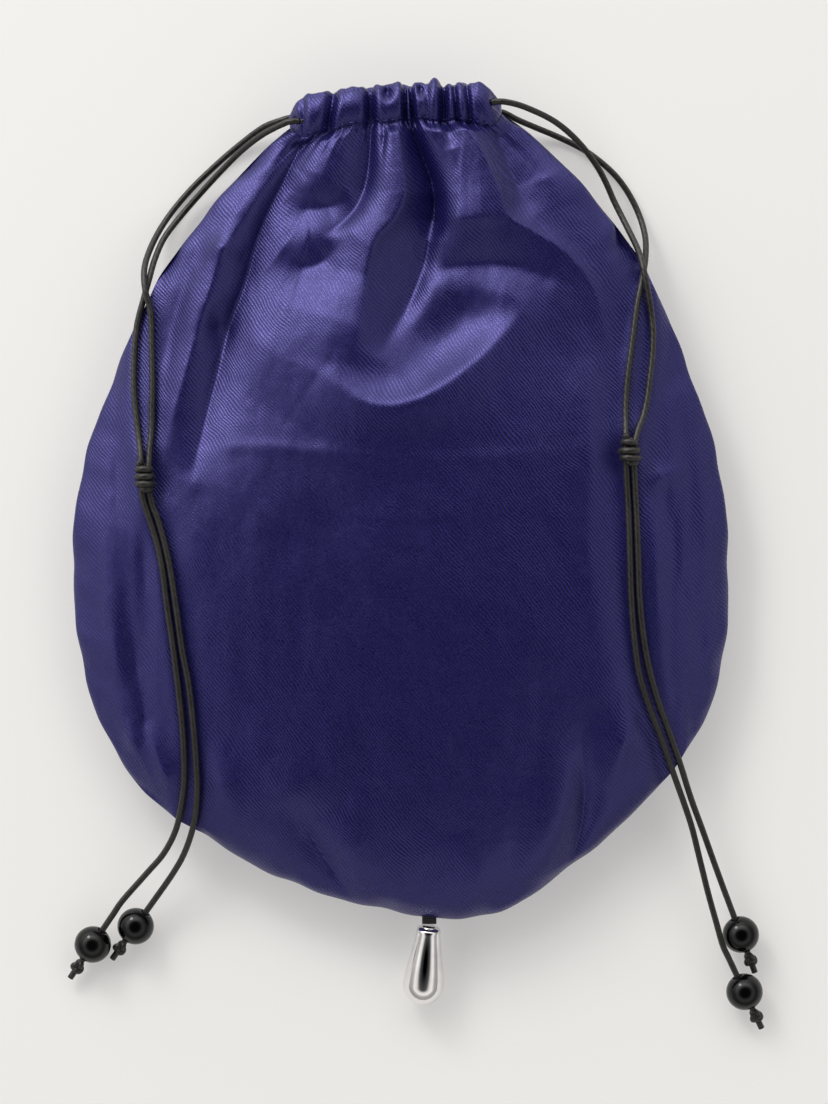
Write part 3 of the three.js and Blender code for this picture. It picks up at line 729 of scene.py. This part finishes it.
# Valleys and ridges in the front: a line, the height at places spread along it, the
# width to its left and right, and how sharp its crest is (1 a crease, 2 a soft roll).
FOLDS = [
    # long crease from the left of the casing: dark on its left, a lit slope on its right
    ([(-26, 135), (-30, 131), (-36.3, 118.5), (-42, 107), (-46, 97), (-49.8, 83.4), (-54.6, 70.6),
      (-57.8, 57.8), (-61, 45), (-64.2, 31), (-66, 20)],
     [-4, -5, -5.4, -5.8, -6, -6, -5.8, -5.2, -4.2, -2.4, 0], 4, 8, 1.1),
    # ridge and hollow on the left shoulder
    ([(-37, 127), (-47, 109), (-56.2, 94.6), (-61, 80), (-65.8, 64), (-71.4, 45), (-74.6, 32),
      (-76, 20)],
     [0, 2, 3, 3.2, 3, 2.4, 1.5, 0], 10, 5, 1.4),
    ([(-58, 106), (-66, 92), (-71, 76), (-75, 60), (-78, 45)], [0, -1.4, -1.8, -1.4, 0], 5, 5, 1.5),
    ([(-64, 98.5), (-57, 95), (-50, 92)], [0, 1.6, 0], 4, 3, 1.5),
    ([(-61, 77), (-58, 69), (-60, 60)], [0, -2.2, 0], 4, 4, 1.6),
    # first roll: its crest, the valley on its right, and the swags under its knee
    ([(-15.8, 139), (-18.6, 132.5), (-22, 126), (-26, 118), (-29, 111)], [1.5, 2.4, 2.6, 2.4, 0], 8, 8, 2),
    ([(-8.8, 142), (-9.3, 137), (-9.5, 130.6), (-9.9, 123), (-10.7, 116.6), (-12, 112),
      (-15, 106.3), (-19.5, 101.7), (-25, 98.5)],
     [-6, -6, -6.4, -6.4, -6, -5.4, -4, -2.4, 0], 9, 2.8, 1.15),
    ([(-36, 112), (-30, 107.5), (-23, 108), (-16, 111)], [0, -2.2, -2.4, 0], 6, 4, 1.5),
    ([(-38, 94), (-31, 88.5), (-24, 91), (-16, 100)], [0, -3, -3.2, 0], 8, 6, 1.4),
    # second roll, running on down to the left
    ([(-2, 138), (-0.5, 129.7), (0.5, 119), (1.2, 111), (-2, 104), (-7.5, 98), (-10.5, 88), (-11.5, 79),
      (-13.5, 67), (-15, 57)],
     [1.6, 2.6, 3.6, 4, 4.2, 4.4, 4.2, 3.4, 2, 0], 13, 5, 1.25),
    ([(-5, 138), (-5.4, 130), (-6.2, 122)], [-1.6, -1.6, 0], 1.4, 1.6, 1.4),
    ([(-12, 86), (-16, 70), (-23, 53), (-32, 38)], [0, 3, 3.4, 0], 22, 15, 2),
    # deep middle valley under the sharp edge of the third roll
    ([(2, 141), (3.8, 133.4), (6.8, 125), (9.8, 116.6), (10.9, 110), (10.8, 103.6), (10, 97)],
     [-6.5, -7.5, -8.4, -8.6, -8.2, -5, 0], 4.2, 2.6, 1.1),
    ([(9, 112), (9.4, 104), (8.6, 96), (6.5, 87), (2.5, 77), (-2.5, 68), (-7.5, 59)],
     [0, -4, -6.4, -6.4, -5.2, -3, 0], 8, 4.5, 1.3),
    # third roll: the edge on its right, its knee, and the valley beyond
    ([(22, 134), (27, 123), (31.8, 112), (34, 105), (42, 99.8), (51.3, 94.2), (58.5, 86.5), (63.5, 76),
      (66, 62)],
     [2.6, 3.8, 4.4, 4.2, 3, 2.2, 1.6, 1, 0], 13, 3.4, 1.15),
    ([(10.5, 105.5), (18, 104), (26, 104.5), (34, 105)], [0, 2.4, 2.6, 0], 4.5, 13, 1.4),
    ([(29, 136), (32.7, 126), (37.3, 114.7), (43, 105)], [-2.6, -3, -2.4, 0], 3.5, 10, 1.4),
    ([(14, 138.5), (15, 132), (16.5, 126)], [-2.6, -2, 0], 1.8, 2.4, 1.4),
    # the bowl under the rolls, with its rim
    ([(8, 85), (16, 88.5), (28, 89.5), (40, 88), (50, 83)], [0, -3, -3.6, -2.2, 0], 8, 6, 1.5),
    ([(12, 78), (22, 81), (33, 80), (42, 76)], [0, 1.1, 1.1, 0], 5, 9, 1.7),
    ([(32, 84), (20, 74), (8, 64), (-3, 56)], [0, -3.2, -3, 0], 10, 10, 2),
    ([(43, 86), (40, 76), (29.5, 63.5), (19.6, 55), (10.3, 48.5), (0, 44.5), (-8.5, 44.5), (-17, 48),
      (-26, 54)],
     [0, 1.6, 3.8, 5.4, 6, 6, 5, 2.6, 0], 6, 14, 1.3),
    # old fold line across the middle
    ([(-72, 28), (-50, 31.5), (-25, 30), (0, 27.5), (30, 28.5), (60, 31)],
     [0, 0.34, 0.4, 0.24, 0.28, 0], 3, 1.6, 1.4),
    # right flank
    ([(56, 72), (59, 50), (60, 30), (59, 10), (60, -10), (62, -30)], [0, 1.2, 1.2, 1, 0.8, 0], 6, 5, 1.5),
    ([(77, 18), (83, 21.5), (92, 24.5)], [0, 1.6, 0], 3, 4, 1.5),
    ([(80, 16), (81, -5), (80, -30), (75, -48)], [0, 1.5, 1.5, 0], 4, 6, 1.6),
    ([(74, -50), (71, -62), (66, -78)], [0, 2.2, 0], 5, 5, 1.6),
    ([(42, 128), (48, 118), (52, 108)], [0, 1.2, 0], 6, 5, 1.8),
    ([(95, 34), (98, 8), (97, -24)], [0, 0.9, 0], 4, 3, 2),
    ([(57, -56), (58.8, -75), (58, -89), (54, -101), (47, -112)], [0, -3, -4.6, -5.2, -3], 5, 3, 1.15),
    ([(50, -62), (51, -78), (49, -92), (44, -104)], [0, 1.4, 2, 1.8], 7, 5, 2),
    # left flank and lower left
    ([(-93, 20), (-94, -5), (-92, -30), (-86, -54)], [0, 1.3, 1.3, 0], 5, 4, 1.6),
    ([(-86, -12), (-84, -38), (-80, -64)], [0, -1.6, 0], 4, 4, 1.5),
    ([(-81, -56), (-74, -74), (-60, -90)], [0, 3.4, 0], 4, 5, 1.3),
    ([(-92, -42), (-86, -62), (-77, -78)], [0, 2, 0], 3.5, 4, 1.5),
    ([(-60, -60), (-57, -76), (-50, -92)], [0, 1.4, 0], 5, 6, 1.7),
    ([(-76, 14), (-80, -4), (-78, -26)], [0, -1.2, 0], 4, 5, 1.6),
    # base
    ([(-35, -80), (-29, -92), (-22, -103), (-14, -115)], [0, -3.4, -5, -3], 3.4, 4.5, 1.15),
    ([(-22, -84), (-17, -97), (-8, -108)], [0, 2, 0.6], 6, 7, 2),
    ([(-38, -66), (-34, -76), (-30, -86)], [0, 1.3, 0], 8, 8, 2),
    ([(20, -90), (24, -106), (26, -119)], [0, 1.4, 1.8], 6, 6, 1.7),
    ([(35, -94), (36, -108), (33, -119)], [0, -1.8, -2.2], 4, 4, 1.4),
    ([(4, -98), (6, -110), (8, -119)], [0, -1.4, -2], 4, 4, 1.4),
]

# Valleys in the casing: place along it at the stitches and at the top, depth, width.
CASING_VALLEYS = {
    1: [(-21.8, -19.6, 0.6, 1.6), (-8, -7.8, 0.88, 1.5), (2.9, 3.5, 0.8, 0.8), (5.6, 5.2, 0.88, 0.9),
        (15.2, 15.7, 0.88, 1.2), (19.6, 19.2, 0.4, 0.8), (23.8, 23.2, 0.35, 0.9),
        (-30, -29, 0.2, 1.2), (10.2, 10.6, 0.2, 1.0)],
    -1: [(-22, -21, 0.8, 1.9), (-12, -12.6, 0.75, 1.7), (-2, -1.2, 0.9, 1.8), (8, 8.4, 0.8, 1.6),
         (17, 16.2, 0.8, 1.8), (25, 25.4, 0.5, 1.4), (-28.5, -28, 0.4, 1.2)],
}
CASING_PITS = [(-2.2, 5.4, 1.5, 2.8), (8.5, 5.4, 1.3, 2.6)]  # along, up, radius, depth
STITCH = 2.7  # from one stitch to the next
DRAWCORD_OUT = 1.6  # middle plane to a drawcord's middle, where the gathers press on it
MOUTH = 0.3  # middle plane to the casing's inner face


def spread(count):
    """Column places from -1 to 1, closer together towards the seams."""
    return np.sin(np.linspace(-math.pi / 2, math.pi / 2, count))


def row_shares(count):
    """Row places from 0 to 1, closer together at the casing and the base."""
    share = np.linspace(0, 1, count)
    return share - 0.55 * np.sin(2 * math.pi * share) / (2 * math.pi)


def casing_point(along, up, out):
    c, s = math.cos(CASING_LEAN), math.sin(CASING_LEAN)
    x = CASING_MIDDLE[0] + c * along - s * up
    y = CASING_MIDDLE[1] + s * along + c * up
    return np.stack(np.broadcast_arrays(x, y, SEAM + out), axis=-1)


def casing_openness(along, height, face):
    """1 on a bulge of the gathers and towards 0 in a valley; height from 0 to 1."""
    left = np.ones(np.broadcast(along, height).shape)
    for low, high, depth, width in CASING_VALLEYS[face]:
        middle = low + (high - low) * height
        left = left * (1 - depth * np.exp(-np.abs((along - middle) / width) ** 1.7))
    return left


def casing_end(along):
    beyond = np.clip((np.abs(along) - (CASING_HALF - CASING_RADIUS)) / CASING_RADIUS, 0, 1)
    return np.sqrt(1 - beyond ** 2)


def casing_out(along, height, face):
    """How far the outer cloth of the casing stands out from the middle plane."""
    openness = casing_openness(along, height, face)
    swell = 5.5 + 2.2 * np.sin(math.pi * np.clip(height, 0, 1)) ** 0.8
    swell = swell - 0.5 * np.exp(-(height / 0.12) ** 2) * np.sin(math.pi * along / STITCH) ** 2
    pucker = waves(along, 3 + face, (1.3, 2.3, 3.6), (0.16, 0.1, 0.06))
    pucker = pucker * (1 - smoothstep(height, 0.0, 0.45) + 0.5 * smoothstep(height, 0.6, 1))
    out = (swell + pucker) * (0.2 + 0.8 * openness)
    if face == 1:
        for middle, up, radius, depth in CASING_PITS:
            level = (height - 0.62) * CASING_HEIGHT * 0.85 + 2.2
            out = out - depth * np.exp(-(((along - middle) / radius) ** 2 + ((level - up) / 2.8) ** 2))
    return np.maximum(out, DRAWCORD_OUT + 1.15) * casing_end(along)


def casing_top(along, face):
    openness = casing_openness(along, 1.0, face)
    top = 5.6 + 2.6 * openness + waves(along, 9 + face, (0.55, 0.9, 1.7), (0.25, 0.22, 0.15))
    if face == 1:
        top = top + 1.0 * np.exp(-((along - 13.2) / 2.2) ** 2)
    return top - 2.6 * (along / CASING_HALF) ** 2 - 6.0 * (np.clip(np.abs(along) - 26, 0, 8) / 8) ** 2.6


def casing_foot(along):
    """The stitched edge, drawn up towards the middle of the casing."""
    drawn_up = 4.6 * (1 - np.clip(np.abs(along) / 33, 0, 1) ** 2.6)
    wander = waves(along, 31, (0.4, 0.75, 1.2), (0.3, 0.25, 0.15))
    return -CASING_HEIGHT / 2 + drawn_up + wander + 5.0 * (np.clip(np.abs(along) - 27, 0, 7) / 7) ** 2.4


def casing_grid(face, columns):
    """Outside from the stitches up, over the top edge, and down inside."""
    rows, rounding, inside_rows = 34, 9, 16
    along = spread(columns) * CASING_HALF
    top = casing_top(along, face)
    base = casing_foot(along)
    points = []
    for i in range(rows):
        height = i / (rows - 1)
        up = base + (top - base) * height
        points.append(casing_point(along, up, face * casing_out(along, height, face)))
    outer = casing_out(along, 1.0, face)
    inner = MOUTH * casing_end(along)
    for i in range(1, rounding):
        angle = math.pi * i / rounding
        out = (outer + inner) / 2 + (outer - inner) / 2 * math.cos(angle)
        points.append(casing_point(along, top + 1.2 * math.sin(angle), face * out))
    for i in range(inside_rows):
        height = 1 - i / (inside_rows - 1)
        points.append(casing_point(along, base + (top - base) * height, face * inner))
    return np.array(points)


def eyelets(points):
    """The casing's ends open a little round each cord."""
    for side in (-1, 1):
        for face in (-1, 1):
            middle = np.array(on_leg(side, face, 33))
            away = np.linalg.norm(points - middle, axis=-1)
            inward = np.array([-side * 0.6, 0, -face * 0.8])
            points = points + 1.9 * np.exp(-(away / 2.3) ** 2)[..., None] * inward
    return points


def outline_patch(columns, rows):
    """The pouch in plan: rows run across, from the casing to the base."""
    a = spread(columns)
    u = (a + 1) / 2
    v = row_shares(rows)
    left = spaced(np.vstack([bezier(LEFT_SHOULDER, 60), bezier(LEFT_SIDE, 40)[1:]]), v)
    right = spaced(np.vstack([bezier(RIGHT_SHOULDER, 60), bezier(RIGHT_SIDE, 40)[1:]]), v)
    base = spaced(np.vstack([bezier(LEFT_BASE, 50), bezier(RIGHT_BASE, 50)[1:]]), u)
    neck = casing_point(a * CASING_HALF, casing_foot(a * CASING_HALF), 0)[:, :2]
    left = left + (neck[0] - left[0]) * (1 - v[:, None]) ** 12
    right = right + (neck[-1] - right[0]) * (1 - v[:, None]) ** 12
    over, down = u[None, :, None], v[:, None, None]
    plan = (1 - down) * neck[None] + down * base[None]
    plan = plan + (1 - over) * left[:, None] + over * right[:, None]
    plan = plan - (1 - over) * (1 - down) * left[0] - over * (1 - down) * right[0]
    plan = plan - (1 - over) * down * left[-1] - over * down * right[-1]
    return plan, np.broadcast_to(a[None], plan.shape[:2]), np.broadcast_to(v[:, None], plan.shape[:2])


def body_depth(plan, a, v, face):
    """How far the pouch's plain blown-out form stands out from its middle plane."""
    y = plan[..., 1]
    rise = np.clip((y - WIDEST_Y) / (NECK_Y - WIDEST_Y), 0, 1)
    full = CASING_RADIUS / CROWN
    full = full + (1 - full) * (0.5 + 0.5 * np.cos(math.pi * rise))
    fall = np.clip((v - BASE_STRETCH) / (1 - BASE_STRETCH), 0, 1)
    full = full * np.sqrt(1 - fall ** 2.4)
    opened = smoothstep(y, 60, NECK_Y)
    power = 2 + 2 * opened
    root = 0.7 - 0.2 * opened
    swell = np.maximum(0, 1 - np.abs(a) ** power) ** root
    reach = CROWN if face == 1 else BELLY + (CROWN - BELLY) * opened
    return reach * full * swell


def cord_press(x, y, height):
    """Cloth lies just under the cords, and under the knots that they are tied in."""
    for name, line in STRANDS.items():
        knot = KNOTS[name.split("_")[0]]
        thinned = line[::3]
        low, high = thinned.min(axis=0) - 16, thinned.max(axis=0) + 16
        inside = (x > low[0]) & (x < high[0]) & (y > low[1]) & (y < high[1])
        distance, place = near_line(x[inside], y[inside], thinned)
        where = np.arange(len(thinned))
        px, py, pz = (np.interp(place, where, thinned[:, k]) for k in range(3))
        to_knot = (px - knot[0]) ** 2 + (py - knot[1]) ** 2
        level = pz - CORD_RADIUS - 0.12 - 2.3 * np.exp(-to_knot / 49)
        gap = level - height[inside]
        reach = np.where(gap < 0, 5.0, 3.8)
        near = 1 - smoothstep(np.abs(gap), 5, 9)
        height[inside] += gap * np.exp(-(distance / reach) ** 2) * near
    return height


def softened(values, passes):
    """Each point moves towards its neighbours, so that no crease is a knife edge."""
    for _ in range(passes):
        padded = np.pad(values, 1, mode="edge")
        beside = padded[:-2, 1:-1] + padded[2:, 1:-1] + padded[1:-1, :-2] + padded[1:-1, 2:]
        values = 0.5 * values + 0.125 * beside
    return values


def front_folds(x, y):
    rise = np.zeros(x.shape)
    for points, heights, left, right, power in FOLDS:
        line = through(points, 9)
        reach = 2.6 * max(left, right)
        low, high = line.min(axis=0) - reach, line.max(axis=0) + reach
        inside = (x > low[0]) & (x < high[0]) & (y > low[1]) & (y < high[1])
        distance, place = near_line(x[inside], y[inside], line)
        width = np.where(distance < 0, left, right)
        size = np.interp(place, np.linspace(0, len(line) - 1, len(heights)), heights)
        rise[inside] += size * np.exp(-np.abs(distance / width) ** power)
    return softened(rise, 2)


def wrinkles(x, y, seed):
    """Shallow crumpling, stretched along the pouch at its sides."""
    soft = 0.45 * noise(x, y, (24, 30), seed) + 0.22 * noise(x, y, (11, 15), seed + 1)
    fine = 0.10 * noise(x, y, (4.5, 8), seed + 2) + 0.04 * noise(x, y, (1.8, 2.6), seed + 3)
    sides = smoothstep(np.abs(x), 62, 95)
    long = 0.55 * noise(x, y, (5, 34), seed + 4) + 0.25 * noise(x, y, (3, 18), seed + 5)
    return soft + fine + sides * long


def seam_ripple(plan, a, v):
    """The seam wanders a little, up and down and in and out."""
    share = np.abs(a) ** 10
    t = v * 270
    height = waves(t, 21, (0.06, 0.14, 0.29, 0.71), (0.6, 0.4, 0.25, 0.05))
    shift = waves(t, 22, (0.08, 0.19, 0.37), (0.5, 0.3, 0.12))
    base = smoothstep(v, 0.97, 1.0)
    across = plan[..., 0]
    height = height * share + base * waves(across, 23, (0.11, 0.27, 0.62), (0.6, 0.4, 0.2))
    drop = base * waves(across, 24, (0.1, 0.22, 0.43), (0.6, 0.4, 0.22))
    at_strap = np.exp(-((across - PENDANT_TOP[0]) / 11) ** 2)
    drop = drop * (1 - at_strap) + 1.1 * base * at_strap
    quiet = smoothstep(v, 0.02, 0.08)
    return height * quiet, np.sign(a) * shift * share * quiet, drop * (1 - share)


def body_grid(face, columns, rows):
    plan, a, v = outline_patch(columns, rows)
    ripple, outward, drop = seam_ripple(plan, a, v)
    x, y = plan[..., 0] + outward, plan[..., 1] + drop
    depth = body_depth(plan, a, v, face)
    inner = np.clip((1 - a * a) * 4, 0, 1) ** 0.7 * np.clip((1 - v) * 9, 0, 1) ** 0.8
    gathers = np.exp(-v * 34) * waves(a * 34, 40 + face, (1.1, 1.7, 2.6, 3.7), (0.4, 0.35, 0.25, 0.15))
    base_gathers = np.exp(-(1 - v) * 30) * waves(x, 50 + face, (0.28, 0.5, 0.95), (0.7, 0.5, 0.25))
    if face == 1:
        lumps = front_folds(x, y) + wrinkles(x, y, 60) + gathers * 0.5 + base_gathers
    else:
        pleats = np.exp(-v * 9) * waves(a * 34, 80, (0.45, 0.62, 0.9), (1.3, 1.1, 0.8))
        lumps = 1.6 * wrinkles(x, y, 70) + gathers * 2 + base_gathers + pleats
    depth = np.maximum(depth + lumps * inner, 0.05 + depth * 0.12)
    start = casing_out(spread(columns) * CASING_HALF, 0.0, face)[None]
    depth = start + (depth - start) * smoothstep(v, 0, 0.022)
    z = SEAM + ripple + face * depth
    if face == 1:
        z = cord_press(x, y, z)
    else:
        z = 0.3 + np.log1p(np.exp((z - 0.3) * 2.2)) / 2.2
    return np.stack([x, y, z], axis=-1)


def lining_grid(face, inside):
    """The panel's form again, set inside it and sewn in with it at the seam."""
    columns, rows = 141, 121
    lined = body_grid(face, columns, rows)
    _, a, v = outline_patch(columns, rows)
    share = np.clip((1 - a * a) * 5, 0, 1) * np.clip((1 - v) * 12, 0, 1)
    lined[..., 2] -= face * inside * (0.15 + 0.85 * share)
    return lined[2:-2, 3:-3]


def add_pouch():
    front_columns, back_columns = 421, 241
    front = body_grid(1, front_columns, 381)
    back = body_grid(-1, back_columns, 221)
    skins = {}
    skins["front_panel"] = grid("front_panel_cloth", front, SATIN)
    skins["back_panel"] = grid("back_panel_cloth", back, SATIN, flip=True)
    skins["front_lining"] = grid("front_lining_cloth", lining_grid(1, 1.4), LINING)
    skins["back_lining"] = grid("back_lining_cloth", lining_grid(-1, 1.0), LINING, flip=True)
    front = eyelets(casing_grid(1, front_columns))
    back = eyelets(casing_grid(-1, back_columns))
    skins["front_casing"] = grid("front_casing_cloth", front, SATIN, flip=True)
    skins["back_casing"] = grid("back_casing_cloth", back, SATIN)
    for node, piece in skins.items():
        declare(piece, node, "pouch")


def add_stitches():
    """The row of stitches that closes the casing's channel."""
    first, count = -30.6, 24
    for face, name in ((1, "front"), (-1, "back")):
        paths = []
        for i in range(count):
            along = first + STITCH * i
            line = []
            for k in (-0.75, -0.35, 0, 0.35, 0.75):
                out = casing_out(np.array(along + k), 0.08, face)
                lift = 0.22 * math.cos(k * 2.0) - 0.08
                line.append(casing_point(along + k, casing_foot(along) + 0.9, face * (out + lift)))
            paths.append(np.array(line))
        piece = several_tubes(f"{name}_casing_stitches", paths, 0.17, THREAD, 8)
        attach(piece, "pouch")


def add_drawcord_loops():
    """Each drawcord inside the casing: along the front, round the far end and back."""
    bend = CASING_HALF - CASING_RADIUS
    bend_radius, pressed_radius = 4.6, 0.88
    for label, side in (("left", -1), ("right", 1)):
        points = []
        for face in (1, -1):
            reaches = np.linspace(LEG_END, -bend, 50)
            for reach in reaches[::face]:
                share = smoothstep(reach, 23, 27)
                out = DRAWCORD_OUT * (1 - share) + CHANNEL_REACH * share
                points.append(casing_point(side * reach, side * face * LANE, face * out))
            if face == 1:
                for k in range(1, 10):
                    angle = math.pi * k / 10
                    points.append(casing_point(
                        -side * (bend + bend_radius * math.sin(angle)),
                        side * LANE * math.cos(angle),
                        DRAWCORD_OUT * math.cos(angle),
                    ))
        path = through(np.array(points), 2)
        piece = tube(f"{label}_drawcord_in_casing", path, pressed_radius, CORD, 12)
        declare(piece, f"{label}_drawcord_loop", f"{label}_drawcord")


# ---- pendant ----

def drop_profile():
    """From the top down: a rounded edge, a shoulder, a taper and a round end."""
    edge = 0.5
    shoulder = DROP_NECK - DROP_TOP
    points = [(0, 0), (DROP_TOP - edge, 0)]
    for i in range(1, 5):
        angle = math.pi / 2 * i / 5
        points.append((DROP_TOP - edge + edge * math.sin(angle), -edge + edge * math.cos(angle)))
    for i in range(6):
        angle = math.pi / 2 * i / 5
        depth = edge + (shoulder - edge) * (1 - math.cos(angle))
        points.append((DROP_TOP + shoulder * math.sin(angle), -depth))
    for i in range(1, 29):
        share = i / 28
        bulge = 0.5 - 0.5 * math.cos(math.pi * share)
        radius = DROP_NECK + (DROP_RADIUS - DROP_NECK) * (0.45 * share + 0.55 * bulge)
        points.append((radius, -shoulder - (DROP_WIDEST - shoulder) * share))
    for i in range(1, 20):
        angle = math.pi / 2 * i / 20
        depth = DROP_WIDEST + (DROP_LENGTH - DROP_WIDEST) * math.sin(angle)
        points.append((DROP_RADIUS * math.cos(angle), -depth))
    return points + [(0, -DROP_LENGTH)]


def add_drop():
    """The drop leans down from the strap until it nearly lies on the floor."""
    clear, lap = 0.3, 0.6  # gap to the floor, and how far the drop goes over the strap's end
    slope = math.asin((SEAM - DROP_RADIUS - clear) / (DROP_WIDEST + lap))
    turn = math.radians(-5.5)
    axis = Vector((-math.sin(turn) * math.cos(slope), math.cos(turn) * math.cos(slope), math.sin(slope)))
    top = Vector(PENDANT_TOP) - lap * axis
    drop = lathe("polished_drop", drop_profile(), top, axis, CHROME, 96)
    declare(drop, "pendant_drop", "pendant")


def add_strap():
    """A flat strap with soft edges, from its rounded root in the seam to the drop."""
    steps, sides, half_thick, shown = 14, 24, 0.58, 1.1
    root = PENDANT_TOP[1] + shown + STRAP_ROOT
    rounded = STRAP_HALF * 0.7
    points = []
    for i in range(steps + 1):
        y = root + rounded - i / steps * (STRAP_ROOT + shown + rounded)
        wide = STRAP_HALF * math.sqrt(max(0.05, 1 - max(0, (y - root) / STRAP_HALF) ** 2))
        for k in range(sides):
            angle = 2 * math.pi * k / sides
            cx, cz = math.cos(angle), math.sin(angle)
            px = wide * np.sign(cx) * abs(cx) ** 0.35
            pz = half_thick * np.sign(cz) * abs(cz) ** 0.6
            points.append((PENDANT_TOP[0] + px, y, SEAM + pz))
    faces = []
    for low in range(0, steps * sides, sides):
        for k in range(sides):
            n = (k + 1) % sides
            faces.append((low + k, low + sides + k, low + sides + n, low + n))
    faces.append(tuple(range(sides)))
    faces.append(tuple(steps * sides + k for k in range(sides - 1, -1, -1)))
    strap = make("woven_strap", points, faces, STRAP)
    declare(strap, "pendant_strap", "pendant_strap")


add_camera()
add_cords("left")
add_cords("right")
add_stage()
add_pouch()
add_stitches()
add_drawcord_loops()
add_drop()
add_strap()
